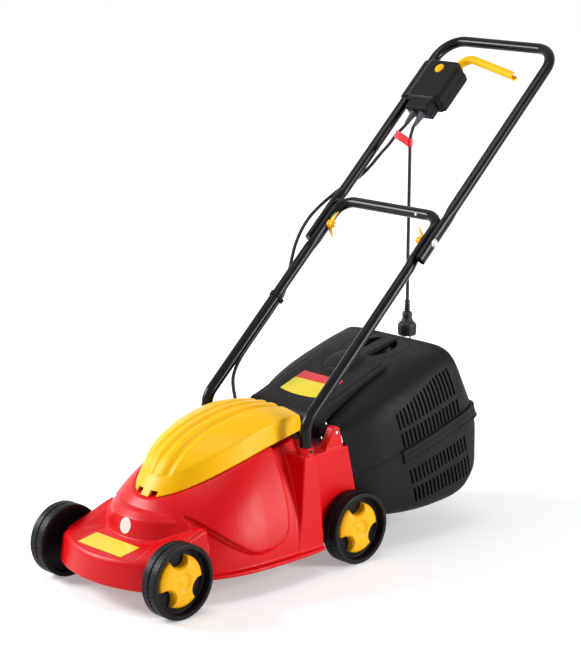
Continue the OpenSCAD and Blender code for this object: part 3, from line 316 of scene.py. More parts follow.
yellow_film = printed_film("yellow_printed_film", "#F0D800")
red_film = printed_film("red_printed_film", "#E3101C")
white_film = printed_film("white_printed_film", "#F1E4E2")
print("materials:", len(bpy.data.materials))

# %% [markdown]
# ## Small tools for shapes
# Every free form is a loft: rings of equal length, one after the other, with closed ends.
# Round parts are turned, flat parts are cut as plates, tubes are swept. Lofts that make one
# moulding are joined, turned into one skin by a voxel remesh and then smoothed: that rounds
# all their edges the way a mould does, which separate bevels could not.

# %% Meshes, lofts and plates
WELD = 1e-4


def face_outward(mesh, weld=False):
    """Turns every face outward; weld=True first merges points that lie on each other."""
    work = bmesh.new()
    work.from_mesh(mesh)
    if weld:
        bmesh.ops.remove_doubles(work, verts=work.verts, dist=WELD)
    bmesh.ops.recalc_face_normals(work, faces=work.faces)
    work.to_mesh(mesh)
    work.free()


def new_mesh(name, points, faces):
    mesh = bpy.data.meshes.new(name)
    mesh.from_pydata([tuple(float(c) for c in p) for p in points], [], [tuple(f) for f in faces])
    mesh.update()
    face_outward(mesh)
    return in_scene(name, mesh)


def quads(rows, size, rows_closed=False, row_closed=True):
    """Four-sided faces between neighbouring rows, which are all size points long."""
    return [(k * size + i, k * size + (i + 1) % size,
             (k + 1) % rows * size + (i + 1) % size, (k + 1) % rows * size + i)
            for k in range(rows if rows_closed else rows - 1)
            for i in range(size if row_closed else size - 1)]


def loft(name, rings, zipped=()):
    """A skin through rings. A fan closes each end; where zipped names an end, 0 the first and
    1 the last, its two halves are joined like a seam instead."""
    count, size = len(rings), len(rings[0])
    points = [p for ring in rings for p in ring]
    faces = quads(count, size)
    for end, base in enumerate((0, (count - 1) * size)):
        if end in zipped:
            faces += [(base + i, base + i + 1, base + size - 2 - i, base + size - 1 - i)
                      for i in range(size // 2 - 1)]
        else:
            points.append(np.mean(points[base:base + size], axis=0))
            faces += [(base + i, base + (i + 1) % size, len(points) - 1) for i in range(size)]
    return new_mesh(name, points, faces)


def plate(name, outline, low, high, axis="x"):
    """A flat plate: its outline is drawn across the axis and pulled from low to high."""
    def lift(p, t):
        return {"x": (t, p[0], p[1]), "y": (p[0], t, p[1]), "z": (p[0], p[1], t)}[axis]
    size = len(outline)
    points = [lift(p, low) for p in outline] + [lift(p, high) for p in outline]
    return new_mesh(name, points, quads(2, size) + [tuple(range(size)), tuple(range(size, 2 * size))])


def block(name, low, high):
    return plate(name, [(low[1], low[2]), (high[1], low[2]), (high[1], high[2]), (low[1], high[2])],
                 low[0], high[0])


# %% Turned shapes and their places


def round_angles(steps):
    return np.linspace(0, 2 * math.pi, steps, endpoint=False)


def disc(steps):
    return [(math.cos(t), math.sin(t)) for t in round_angles(steps)]


def turned(name, profile, steps=96, ring=False):
    """A profile of (radius, height) turned about +Z; ring=True closes the profile on itself."""
    points = [(r * c, r * s, z) for r, z in profile for c, s in disc(steps)]
    made = new_mesh(name, points, quads(len(profile), steps, rows_closed=ring))
    face_outward(made.data, weld=True)
    return made


def rod(name, radius, low, high, steps=40):
    """A plain turned bar, for the bores and pads inside other shapes."""
    return turned(name, [(0, low), (radius, low), (radius, high), (0, high)], steps)


def move(x, y, z):
    return Matrix.Translation((x, y, z))


def rotate(degrees, axis):
    return Matrix.Rotation(math.radians(degrees), 4, axis)


def placed(made, matrix):
    made.data.transform(matrix)
    return made


# From a drawing with X across, Y up the handle and Z out of its plane, to its place.
HANDLE_PLACE = move(0, bolt_y, bolt_z) @ Matrix.Rotation(slope, 4, "X")

# %% Sweeps


def squared(side, run):
    """The part of side that is square to run, made one long."""
    side = side - run * np.dot(side, run)
    return side / np.linalg.norm(side)


def swept(name, points, section, widths=1, heights=1, up=None, zipped=()):
    """A section of (across, up) moved along points; widths and heights scale it, at each point
    or all along. Its up side leans toward up, or turns with the path where up isn't given."""
    points = [np.array(p, float) for p in points]
    widths, heights = (np.broadcast_to(v, len(points)) for v in (widths, heights))
    rings, across = [], np.array((1.0, 0, 0))
    for i, p in enumerate(points):
        run = points[min(i + 1, len(points) - 1)] - points[max(i - 1, 0)]
        run /= np.linalg.norm(run)
        if up is None:
            across = squared(across, run)
            raised = np.cross(run, across)
        else:
            raised = squared(np.array(up), run)
            across = np.cross(run, raised)
        rings.append([p + across * widths[i] * u + raised * heights[i] * v for u, v in section])
    return loft(name, rings, zipped)


# %% Paths


def rounded_path(corners, radii, step=6.0):
    """Points along straight stretches joined by arcs; step is the longest gap on a straight."""
    corners = [np.array(c, float) for c in corners]
    out = [corners[0]]
    for i in range(1, len(corners)):
        a, b = corners[i - 1], corners[i]
        if i < len(corners) - 1 and radii[i] > 0:
            u = (b - a) / np.linalg.norm(b - a)
            v = (corners[i + 1] - b) / np.linalg.norm(corners[i + 1] - b)
            turn = math.acos(max(-1, min(1, float(np.dot(u, v)))))
            w = v - u * np.dot(u, v)
            w /= np.linalg.norm(w)
            reach = radii[i] * math.tan(turn / 2)
            centre = b - u * reach + w * radii[i]
            arc = [centre - w * radii[i] * math.cos(t) + u * radii[i] * math.sin(t)
                   for t in np.linspace(0, turn, 13)]
        else:
            arc = [b]
        gap = np.linalg.norm(arc[0] - out[-1])
        count = max(1, int(gap / step))
        out += [out[-1] + (arc[0] - out[-1]) * k / count for k in range(1, count)]
        out += arc
    return out


PER_SPAN = 5


def smooth_curve(points, per=PER_SPAN):
    """A smooth curve through given points, with a few points between each two."""
    p = [np.array(q, float) for q in points]
    p = [2 * p[0] - p[1]] + p + [2 * p[-1] - p[-2]]
    out = []
    for i in range(1, len(p) - 2):
        for k in range(per):
            t = k / per
            out.append(0.5 * (2 * p[i] + (p[i + 1] - p[i - 1]) * t
                              + (2 * p[i - 1] - 5 * p[i] + 4 * p[i + 1] - p[i + 2]) * t ** 2
                              + (3 * p[i] - p[i - 1] - 3 * p[i + 1] + p[i + 2]) * t ** 3))
    return out + [p[-2]]


# %% Copies and joins


def doubled(made):
    """A second piece with a mesh of its own."""
    return in_scene(made.name, made.data.copy())


def flipped(made):
    """Mirrors a piece across the machine's middle plane."""
    made.data.transform(Matrix.Scale(-1, 4, (1, 0, 0)))
    made.data.flip_normals()
    return made


def on_both_sides(made):
    """The piece and its mirror image."""
    return [made, flipped(doubled(made))]


def add_step(made, kind, **settings):
    """Puts a modifier with its settings on a piece."""
    step = made.modifiers.new(kind.lower(), kind)
    for name, value in settings.items():
        setattr(step, name, value)


def evaluated(made):
    """Turns what a piece's modifiers make into plain mesh."""
    bpy.context.view_layer.update()
    graph = bpy.context.evaluated_depsgraph_get()
    mesh = bpy.data.meshes.new_from_object(made.evaluated_get(graph))
    old = made.data
    made.modifiers.clear()
    made.data = mesh
    bpy.data.meshes.remove(old)
    return made


def joined(name, pieces):
    """All pieces as one object, without any boolean."""
    work = bmesh.new()
    for piece in pieces:
        work.from_mesh(piece.data)
        bpy.data.objects.remove(piece)
    mesh = bpy.data.meshes.new(name)
    work.to_mesh(mesh)
    work.free()
    return in_scene(name, mesh)


# %% Booleans, skins and soft edges
SOFTEN = 0.5
CREASE = 35


def combine(made, others, operation):
    """Boolean of one piece with others, one after another."""
    for other in others:
        add_step(made, "BOOLEAN", operation=operation, solver="MANIFOLD", object=other)
    evaluated(made)
    for other in others:
        bpy.data.objects.remove(other)
    return made


def one_skin(made, voxel, passes):
    """One closed skin over everything in the piece, its edges rounded by smoothing."""
    add_step(made, "REMESH", mode="VOXEL", voxel_size=voxel)
    add_step(made, "SMOOTH", factor=SOFTEN, iterations=passes)
    return evaluated(made)


def bevelled(made, width, segments=2):
    """Cuts every edge sharper than CREASE degrees."""
    add_step(made, "BEVEL", width=width, segments=segments, limit_method="ANGLE", angle_limit=math.radians(CREASE))
    return evaluated(made)


# %% From a drawing to a piece of the frame
INTO_FRAME = Matrix.Scale(MM, 4) @ move(0, shift_y, 0)


def dress(made, name, material, body, replaces=(), sharp=40):
    """Moves a drawing in millimetres into the frame, gives it its finish and its moving body."""
    made.name = name
    made.data.name = name
    placed(made, INTO_FRAME)
    made.data.shade_smooth()
    made.data.set_sharp_from_angle(angle=math.radians(sharp))
    made.data.materials.clear()
    made.data.materials.append(material)
    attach(made, body)
    if replaces:
        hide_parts(*replaces)
    return made


# %% [markdown]
# ## The deck
# The real deck is one thin moulding: a bell over the blade that rises to the seat of the motor
# cover, a nose between the front wheels, shoulders over the front axle, a pillar on each side
# for the handle and a box behind for the clippings. Each of these is a loft here. A raised
# panel runs along the foot of the bell and up to the pillar, and a lip runs round its edge.
# The inside is the same set of forms a wall's thickness smaller.

# %% The bell's outline
WALL = 3.5
# The nose and the shoulders have a thicker skin, because the sticker's tray cuts into it.
NOSE_WALL = WALL + 2.8
SKIRT = 45
# A form that hollows another starts lower than the skirt, so it cuts right through.
CUT_FOOT = SKIRT - 5
DECK_HALF = 178
COVER_HALF = 102
OVAL_POINTS = 120
# Ovals of the bell's foot, and of its top and the cover: reach behind, middle, squareness.
FOOT_OVAL, SEAT_OVAL = (282, 15, 2.6), (282, 30, 2.1)


def power(v, p):
    """A power that keeps the sign, for squared ovals."""
    return math.copysign(abs(v) ** p, v)


def oval(half, ahead, behind, mid, n):
    """A squared oval round the middle: half width, reach ahead and behind, squareness n."""
    out = []
    for i in range(OVAL_POINTS):
        t = math.radians(-90 + (i + 0.5) * 360 / OVAL_POINTS)
        out.append((half * power(math.cos(t), 2 / n),
                    mid + (ahead if math.sin(t) < 0 else behind) * power(math.sin(t), 2 / n)))
    return out


def seat(y):
    """Height of the sloping seat that the motor cover stands on."""
    return 236 + 0.265 * y - 0.00055 * y * y


COVER_END = 150
BELL_END = 137
BELL_LEVELS = 26
# Two powers that set how fast the bell leaves its upright foot: sooner behind, later in front.
BELL_POWER, FRONT_POWER = 1.9, 0.85


def bell(inset, foot=SKIRT):
    """The hood over the blade: each level lies between the skirt's oval and the seat's."""
    low = oval(DECK_HALF - inset, 222 - inset, *FOOT_OVAL)
    top = oval(COVER_HALF + 5 - inset, 200 - inset, *SEAT_OVAL)
    rings = []
    for k in range(BELL_LEVELS + 1):
        h = k / BELL_LEVELS
        ring = []
        for a, b in zip(low, top):
            g = h ** (BELL_POWER + FRONT_POWER * min(1, max(0, (15 - a[1]) / 200)))
            ring.append((a[0] * (1 - g) + b[0] * g,
                         min(BELL_END - max(inset, 0), a[1] * (1 - g) + b[1] * g),
                         foot * (1 - h) + (seat(min(b[1], COVER_END)) - inset) * h))
        rings.append(ring)
    return loft("bell", rings)


# %% Nose, shoulders, pillars and rear box
NOSE_TOP = 108
NOSE_HALF, NOSE_R, NOSE_TIP, NOSE_REAR = 137, 260, -296, -150


def plateau(y):
    """Height of the nose's flat top, which dips toward the front."""
    return NOSE_TOP + 0.17 * (y + 225)


def nose(inset, foot=SKIRT):
    """Leans back from the skirt, then rounds over tightly into its flat top."""
    rings = []
    for lean, drop in [(0, foot - NOSE_TOP), (2, -46), (4.5, -24), (6, -12), (8.5, -6), (12.5, -2),
                       (18, -0.3), (28, 0)]:
        half, r = NOSE_HALF - inset - lean, NOSE_R - inset - lean
        tip = NOSE_TIP + inset + lean
        a = math.asin(half / r)
        arc = [(r * math.sin(t), tip + r * (1 - math.cos(t))) for t in np.linspace(-a, a, 40)]
        line = [(-half, NOSE_REAR + inset)] + arc + [(half, NOSE_REAR + inset)]
        share = 0 if drop < -46 else min(1, (drop + 46) / 34)
        rings.append([(x, y, NOSE_TOP + drop - (inset if drop > -30 else 0)
                       + share * (plateau(y) - NOSE_TOP)) for x, y in line])
    return loft("nose", rings)


def shoulder(inset):
    """The hump behind a front wheel's axle: it climbs to the rear and slopes down to the drum."""
    side = [(-252, 60), (-240, 101), (-181, 120), (-150, 130), (-134, 134), (-128, 131), (-128, 60)]
    crest = [(-246, 60), (-236, 104), (-180, 125), (-150, 136), (-136, 140), (-129, 136), (-129, 60)]
    inner = [(-240, 60), (-231, 104), (-200, 110), (-166, 121), (-145, 126), (-135, 124), (-134, 60)]
    x1, x0 = NOSE_HALF - inset, 62 + inset
    rings = [[(x, y + (inset if y < -200 else -inset), z - (inset if z > 60 else 0)) for y, z in line]
             for x, line in ((x1, side), (x1 - 6, crest), (x0 + 44, crest), (x0, inner))]
    return loft("shoulder", rings)


def pillar(inset):
    """Carries a leg of the handle; it narrows and leans inward as it rises."""
    rings = []
    for z, x0, x1, y0, y1 in ((CUT_FOOT if inset > 0 else SKIRT, 120, 168, 71, 138),
                              (140, 114, 163.5, 84, 133.5), (231 - inset, 108, 158, 95, 128)):
        rings.append([(x1 - inset, y0 + inset, z), (x1 - inset, y1 - inset, z),
                      (x0 - inset, y1 - inset, z), (x0 - inset, y0 + inset, z)])
    return loft("pillar", rings)


def rear_box(inset):
    """The way out for the clippings, with a slanting back that the catcher's mouth lies on."""
    foot = CUT_FOOT if inset > 0 else SKIRT
    return plate("box", [(100 + inset, foot), (244 - inset, foot), (250 - inset, 130),
                         (226 - inset, 226 - inset), (130, 226 - inset), (100 + inset, 190)],
                 -140 + inset, 140 - inset)


# %% The raised panel and the lip
def raised_panel(inset, d):
    """The bell's proud skin ends at a crease, which climbs behind each shoulder and dips again
    along the side; d widens the panel for the step that rounds its edge."""
    outline = [(-240, 76 - d), (-152, 77 - d), (-147 - d, 120), (-152 - d, 162), (-131 - d, 145 - d),
               (-90 - d, 110 - d)]
    edge = smooth_curve([(-90 - d, 110 - d, 0), (-44, 83 - d, 0), (5, 83 - d, 0), (38 + d, 99 - d, 0),
                         (51 + d, 135, 0), (56 + d, 190, 0), (60 + d, 262, 0)])
    outline += [(p[0], p[1]) for p in edge[1:]] + [(-240, 262)]
    region = plate("region", outline, -200, 200)
    return combine(region, [bell(inset)], "INTERSECT")


def lip():
    """A band round the skirt's edge that stands proud of the bell."""
    band = bell(-2.5)
    return combine(band, [block("keep", (-200, -240, SKIRT - 1), (200, 138, SKIRT + 7))], "INTERSECT")


# %% The deck's outer form
SOCKET_X, SOCKET_Y = 140, 114
HINGE_Y, HINGE_Z = 197, 258
DRUM_Y, MOTOR_Y = -79, -10
PROUD = 11


def ear():
    """One of the two lugs that hold the flap's hinge rod."""
    web = plate("ear", [(164, 220), (188, 264), (192, 268.5), (203, 268.5), (207.5, 261), (218, 220)], 120, 138)
    eye = placed(rod("eye", 11, 0, 18), move(120, HINGE_Y, HINGE_Z) @ rotate(90, "Y"))
    return combine(web, [eye], "UNION")


deck = bell(PROUD)
outside = [nose(0), rear_box(0), lip(), raised_panel(0, 0), raised_panel(PROUD / 2, 5)]
outside += on_both_sides(shoulder(0)) + on_both_sides(pillar(0)) + on_both_sides(ear())
outside += on_both_sides(placed(rod("collar", 15.5, 0, 49.5, 48), move(SOCKET_X, SOCKET_Y, 196.5)))
# The drum band under the cover, a shallow step round the front of the bell.
drum = turned("drum", [(0, 95), (136, 95), (133, 124), (126, 146), (113, 158), (0, 158)], 120)
outside.append(placed(drum, move(0, DRUM_Y, 0)))
combine(deck, outside, "UNION")
print("deck's outer faces:", len(deck.data.polygons))

# %% The deck's hollow
inside = bell(WALL + PROUD, CUT_FOOT)
spare = [nose(NOSE_WALL, CUT_FOOT), rear_box(WALL)]
spare += on_both_sides(shoulder(NOSE_WALL)) + on_both_sides(pillar(WALL))
combine(inside, spare, "UNION")
# The motor's well keeps its wall, so it is left out of the hollow and bored later.
well = placed(rod("well", 59.5, 118.5, 400, 64), move(0, MOTOR_Y, 0))
combine(inside, [well], "DIFFERENCE")
combine(deck, [inside], "DIFFERENCE")

# %% The sticker's tray
# A shallow tray in the nose's top holds the sticker; it stops at the drum's foot.
TRAY_R, TRAY_ROUND, TRAY_REAR = 262, 12, (66, -190)
tray = []
for shrink, rise in ((3, -2.6), (0, 0.4), (0, 20)):
    straight, tip = 97 - shrink - TRAY_ROUND, -285 + shrink
    front = [(x, tip + TRAY_R - math.sqrt(TRAY_R ** 2 - x * x)) for x in np.linspace(-straight, straight, 30)]
    y = front[0][1]
    corner = [(straight + TRAY_ROUND * math.sin(a), y + TRAY_ROUND - TRAY_ROUND * math.cos(a))
              for a in np.linspace(0.2, math.pi / 2, 8)]
    x0, y0 = TRAY_REAR
    line = [(-x0, y0)] + [(-x, y) for x, y in reversed(corner)] + front + corner + [(x0, y0)]
    tray.append([(x, y, plateau(y) + rise) for x, y in line])
foot = placed(rod("foot", 140, 80, 140, 120), move(0, DRUM_Y, 0))
combine(deck, [combine(loft("tray", tray), [foot], "DIFFERENCE")], "DIFFERENCE")

# %% The deck as one moulding
one_skin(deck, voxel=2.0, passes=4)
cuts = [placed(rod("motor_well", 56, 122, 400, 64), move(0, MOTOR_Y, 0))]
cuts += [placed(rod("bore", 11.6, 200, 300), move(x, SOCKET_Y, 0)) for x in (-SOCKET_X, SOCKET_X)]
cuts.append(block("mouth", (-112, 205, 140), (112, 300, 214)))
combine(deck, cuts, "DIFFERENCE")
dress(deck, "deck_shell", red_pp, "machine", ["deck"], sharp=50)
print("deck faces:", len(deck.data.polygons))

# %% [markdown]
# ## The stickers
# A yellow sticker lies in the tray on the nose and a round white one on the bell's front. They
# stay blank. Both follow the surface under them, so each is laid on by a shrinkwrap that lifts
# it by the film's thickness.

# %% Stickers on the deck
FILM = 0.35


def sticker(name, outline, material, along):
    """A thin film laid on the deck along one axis; outline is its corner points in place."""
    work = bmesh.new()
    work.faces.new([work.verts.new(p) for p in outline])
    bmesh.ops.triangulate(work, faces=work.faces)
    bmesh.ops.subdivide_edges(work, edges=work.edges, cuts=7, use_grid_fill=True)
    mesh = bpy.data.meshes.new(name)
    work.to_mesh(mesh)
    work.free()
    made = in_scene(name, mesh)
    placed(made, INTO_FRAME)
    add_step(made, "SHRINKWRAP", target=deck, wrap_method="PROJECT", offset=FILM * MM,
             use_negative_direction=True, use_positive_direction=True,
             **{"use_project_" + axis: axis == along for axis in "xyz"})
    evaluated(made)
    made.data.shade_smooth()
    made.data.materials.append(material)
    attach(made, "machine")
    print(name, "faces:", len(made.data.polygons))


sticker("nose_sticker", [(-66, -269, 130), (58, -269, 130), (58, -224, 130), (-66, -224, 130)],
        yellow_film, "z")
sticker("round_sticker", [(14.5 * c, -230, 131 + 14.5 * s) for c, s in disc(32)], white_film, "y")

# %% [markdown]
# ## The motor cover
# The cover is a yellow hood: walls that lean in, a clear edge all round, and a crown with three
# long shallow valleys. The rings below follow the same seat as the deck, then the wall, a tight
# round at the edge, and the crown as an arch that the valleys are pressed into.

# %% Motor cover
# Height of the wall over the seat, and share of the crown's height, at places along the machine.
RISE = ([-171, -141, -100, -54, 4, 60, 95, 150], [20, 25, 31, 34, 37, 38, 36, 26])
CROWN = ([-171, -141, -125, -100, -60, 0, 60, 100, 150], [0.02, 0.1, 0.6, 0.9, 1.1, 1.0, 0.76, 0.55, 0.4])
CROWN_H = 27
COVER_WALL = 2.8
VALLEYS, VALLEY_HALF, VALLEY_D = (-30, 0, 30), 11, 4.4


def eased(y, table):
    """A table of (place, value), read with a smooth curve between its points."""
    xs, vs = np.array(table[0], float), np.array(table[1], float)
    slopes = np.gradient(vs, xs)
    i = int(np.clip(np.searchsorted(xs, y) - 1, 0, len(xs) - 2))
    w = xs[i + 1] - xs[i]
    t = min(1, max(0, (y - xs[i]) / w))
    return (vs[i] * (1 + 2 * t) * (1 - t) ** 2 + slopes[i] * w * t * (1 - t) ** 2
            + vs[i + 1] * t * t * (3 - 2 * t) + slopes[i + 1] * w * t * t * (t - 1))


def edge_z(y):
    """Height of the clear edge between the cover's wall and its crown."""
    return seat(y) + eased(y, RISE)


def valley(x):
    """Depth of the three long valleys pressed into the crown."""
    near = min(abs(x - v) for v in VALLEYS) / VALLEY_HALF
    return VALLEY_D * math.cos(math.pi / 2 * near) ** 2 if near < 1 else 0


# Levels of the wall from foot to edge, and the number of rings from the edge to the crown's top.
WALL_LEVELS, CROWN_RINGS = (0, 0.2, 0.45, 0.7, 0.88, 0.97), 70


def hood(inset):
    """The cover's outer form or, with an inset, the room under it."""
    foot = oval(COVER_HALF - inset, 195 - inset, *SEAT_OVAL)
    edge = oval(COVER_HALF - 6 - inset, 171 - inset, *SEAT_OVAL)
    end = COVER_END - max(inset, 0)
    rings = []
    for h in WALL_LEVELS:
        rings.append([(a[0] * (1 - h) + b[0] * h, min(end, a[1] * (1 - h) + b[1] * h),
                       (seat(min(a[1], COVER_END)) + 0.3 - (8 if inset > 0 else 0)) * (1 - h)
                       + (edge_z(min(b[1], COVER_END)) - inset) * h) for a, b in zip(foot, edge)])
    for c in np.linspace(0.985, 0.012, CROWN_RINGS):
        ring = []
        for b in edge:
            y = min(b[1], COVER_END)
            z = edge_z(y) - inset + 1 + CROWN_H * eased(y, CROWN) * (1 - c * c)
            ring.append((b[0] * c, min(end, b[1]), z - valley(b[0] * c)))
        rings.append(ring)
    return loft("hood", rings, zipped=(1,))


cover = one_skin(hood(0), voxel=1.5, passes=2)
hollow = hood(COVER_WALL)
slots = [block("vent", (x, -260, 176), (x + 17, -139, seat(-150) + 6)) for x in (-27, 10)]
combine(cover, [hollow] + slots, "DIFFERENCE")
dress(cover, "motor_cover_hood", yellow_pp, "machine", ["motor_cover"], sharp=50)
print("cover faces:", len(cover.data.polygons))

# %% [markdown]
# ## The wheels
# Each wheel is a black drum with two rows of tread blocks and a groove between them, and a
# yellow cap with three scallops that lies deep inside the rim. The drum is turned; the blocks
# are cut by small plates all round, because the gaps between them are what catches the light.

# %% Wheel and cap
HALF_W = 18
HUB_R = 49
BAY_AT, BAY_ANGLES = 48, (97, 217, 337)
BLOCKS_ROUND = 48
# Each cut between blocks: its depth, half its width, and where it starts from the middle.
LONG_CUT, SHORT_CUT = (1.1, 0.8, 2.6), (0.8, 0.6, 9)


def wheel_drum():
    """Long cuts part the blocks of each row; short ones halve a block from its outer edge."""
    r, h = wheel_r, HALF_W
    profile = [(5.2, -h + 2), (14, -h + 2), (14, -4), (58, -4), (61, -8), (61.8, -h), (r - 2.4, -h),
               (r - 0.9, -h + 0.7), (r, -h + 2.4), (r, -2.2), (r - 0.9, -1.4), (r - 2.2, -1.2), (r - 2.2, 1.2),
               (r - 0.9, 1.4), (r, 2.2), (r, h - 2.4), (r - 0.9, h - 0.7), (r - 2.4, h), (r - 7.6, h),
               (r - 8.4, h - 0.8), (r - 9.4, 2), (58, 0), (14, 0), (14, 6), (5.2, 6)]
    gaps = []
    for k in range(BLOCKS_ROUND):
        for (deep, half, start), row, lag in ((LONG_CUT, -1, 0), (LONG_CUT, 1, 0.5),
                                              (SHORT_CUT, -1, 0.5), (SHORT_CUT, 1, 0)):
            gap = block("gap", (r - deep, -half, start), (r + 2, half, h + 2))
            turn = Matrix.Rotation(2 * math.pi * (k + lag) / BLOCKS_ROUND, 4, "Z")
            gaps.append(placed(gap, turn @ Matrix.Scale(row, 4, (0, 0, 1))))
    cutter = joined("gaps", gaps)
    face_outward(cutter.data)
    return combine(turned("drum", profile, 180, ring=True), [cutter], "DIFFERENCE")


def hub_cap():
    """A domed disc with a raised middle and three round bays scooped out of its edge."""
    profile = [(0, 14.8), (5, 14.7), (7.5, 13.9), (9.5, 13.1), (13.5, 12.9), (15.5, 13.7), (17.5, 15.9), (20, 16.6),
               (26, 16.5), (34, 15.4), (42, 13.4), (HUB_R - 3, 11), (HUB_R - 1, 9.6), (HUB_R, 7.5), (HUB_R, 0.2),
               (HUB_R - 2.4, 0.2), (HUB_R - 2.4, 7), (41, 10.6), (30, 12.8), (19, 12.9), (15, 10.5), (0, 10.5)]
    cap = turned("cap", profile, 120)
    bays = [move(-BAY_AT * math.cos(t), -BAY_AT * math.sin(t), 0)
            for t in (math.radians(a - 90) for a in BAY_ANGLES)]
    scoop = [(0, -2), (20, -2), (21, 12), (25, 17.6), (0, 17.6)]
    combine(cap, [placed(turned("scoop", scoop, 56), bay) for bay in bays], "DIFFERENCE")
    # The scooped bays have their own wall, so the cap reads as a solid moulding.
    wall = [(20.2, 0.3), (22.4, 0.3), (22.4, 11.5), (20.6, 11.5)]
    walls = joined("walls", [placed(turned("wall", wall, 56, ring=True), bay) for bay in bays])
    limit = turned("limit", [(0, 0), (HUB_R - 1.2, 0), (HUB_R - 1.2, 9), (41, 12.2), (20, 14.5), (0, 14.5)], 120)
    combine(walls, [limit], "INTERSECT")
    return combine(cap, [walls], "UNION")


# %% The four wheels
drum, cap = wheel_drum(), hub_cap()
for spot, at in wheel_spots.items():
    hand = 1 if at.x > 0 else -1
    side = move(hand * wheel_x, at.y / MM - shift_y, wheel_r) @ rotate(hand * 90, "Y")
    tread, hub = doubled(drum), doubled(cap)
    if hand < 0:
        flipped(hub)
    body = spot + "_wheel"
    dress(placed(tread, side), "tread_" + spot, wheel_pp, body, ["wheel_" + spot], sharp=25)
    dress(placed(hub, side), "cap_" + spot, amber_pp, body, ["hub_" + spot], sharp=38)
for source in (drum, cap):
    bpy.data.objects.remove(source)
print("wheels dressed:", len(wheel_spots))

# %% [markdown]
# ## The handle
# Two bent steel tubes of 22 mm make the handle. Where the upper legs lie on the lower ones both
# are pressed to a flat oval, so a cylinder will not do: each tube is swept with its own half
# width and half height at every point, and they change smoothly into the pressed stretch.
# The upper tube's wide side stays square to the handle's plane; the lower one turns with its path.

# %% Handle tubes
TUBE_R = 11
FLAT_T = 16.4
BULGE = 1.6
UPPER_X = 151.2
LEG_X = 140
SLOPE_NORMAL = (0, -math.sin(slope), math.cos(slope))


def ease(t):
    """0 to 1 with a soft start and end, and flat outside them."""
    t = min(1, max(0, t))
    return t * t * (3 - 2 * t)


def pressed(points, low, high, blend, side_in):
    """Half sizes and sideways shift of a tube that is pressed flat between two places up the slope."""
    widths, heights, out = [], [], []
    for p in points:
        s = (p[1] - bolt_y) * math.cos(slope) + (p[2] - bolt_z) * math.sin(slope)
        near_leg = abs(p[0]) > 100
        amount = ease((s - low) / blend + 0.5) * ease((high - s) / blend + 0.5) if near_leg else 0
        w = TUBE_R + (FLAT_T / 2 - TUBE_R) * amount
        widths.append(w)
        heights.append(TUBE_R + BULGE * amount)
        shift = (TUBE_R - w) * side_in * (1 if p[0] > 0 else -1)
        out.append((p[0] + shift, p[1], p[2]))
    return out, widths, heights


lower_path = rounded_path(
    [(LEG_X, 114, 200.2), (LEG_X, 114, 291.5), on_handle(LEG_X, 61.5, 0), on_handle(-LEG_X, 61.5, 0),
     (-LEG_X, 114, 291.5), (-LEG_X, 114, 200.2)], [0, 45, 40, 40, 45, 0])
points, widths, heights = pressed(lower_path, -54, 34, 26, -1)
lower = swept("lower", points, disc(28), widths, heights)
dress(lower, "lower_handle_tube", tube_coat, "machine", ["lower_handle"], sharp=60)

upper_path = rounded_path(
    [on_handle(UPPER_X, -45, 0), on_handle(UPPER_X, 505, 0), on_handle(-UPPER_X, 505, 0),
     on_handle(-UPPER_X, -45, 0)], [0, 52, 52, 0])
points, widths, heights = pressed(upper_path, -80, 72, 26, 1)
upper = swept("upper", points, disc(28), widths, heights, up=SLOPE_NORMAL)
dress(upper, "upper_handle_tube", tube_coat, "handle_top", ["upper_handle"], sharp=60)
print("handle points:", len(lower_path), len(upper_path))

# %% Bolts and rivet
# Zinc-plated bolts with domed heads join the legs.
NUT_X = LEG_X - TUBE_R + 0.5
for hand, side in ((1, "right"), (-1, "left")):
    bolt = turned("bolt", [(0, NUT_X - 22), (2.4, NUT_X - 22), (3, NUT_X - 21.3), (3, 161), (8, 161), (8, 162.2),
                           (7, 162.4), (6.6, 164), (5, 165.4), (2.6, 166.1), (0, 166.3)], 40)
    placed(bolt, HANDLE_PLACE @ rotate(hand * 90, "Y"))
    dress(bolt, "fold_bolt_" + side, zinc_steel, "machine", ["fold_bolts"], sharp=30)
rivet = turned("rivet", [(0, 0), (3.4, 0), (3.2, 1), (2, 1.9), (0, 2.2)], 32)
placed(rivet, move(*(on_handle(78, 61.5, 0) + (0, -TUBE_R + 0.4, 0))) @ rotate(90, "X"))
dress(rivet, "crossbar_rivet", zinc_steel, "machine", ["fold_bolts"], sharp=30)
print("bolts at x =", NUT_X, "mm")

# %% [markdown]
# ## The wing nuts
# A yellow wing nut is a round boss with two thin petals that lean away from the tube. Each
# petal is a loft of flat ovals along a curved line, joined to the boss and smoothed.

# %% Wing nuts


def wing_nut():
    """Drawn with its bore along Z; each wing's ovals grow and thin out toward its tip."""
    boss = turned("boss", [(0, 0), (9, 0), (9, 3), (7.4, 6), (7, 13), (5.2, 14.5), (0, 14.5)], 40)
    wings = []
    for a in (60, 240):
        rings = []
        for t in np.linspace(0, 1, 9):
            r = 3 + 24 * t
            z = 4 + 10 * t * t
            wide = 5.2 * math.sin(math.pi * min(0.93, 0.28 + 0.68 * t)) + 0.6
            thick = 2.1 - 0.9 * t
            rings.append([(r + thick * math.sin(u) * 0.3, thick * math.cos(u),
                           z + 4.5 * t + wide * math.sin(u)) for u in round_angles(14)])
        wings.append(placed(loft("wing", rings), rotate(a, "Z")))
    combine(boss, wings, "UNION")
    one_skin(boss, voxel=0.7, passes=4)
    return combine(boss, [rod("bore", 3.1, -1, 16, 24)], "DIFFERENCE")


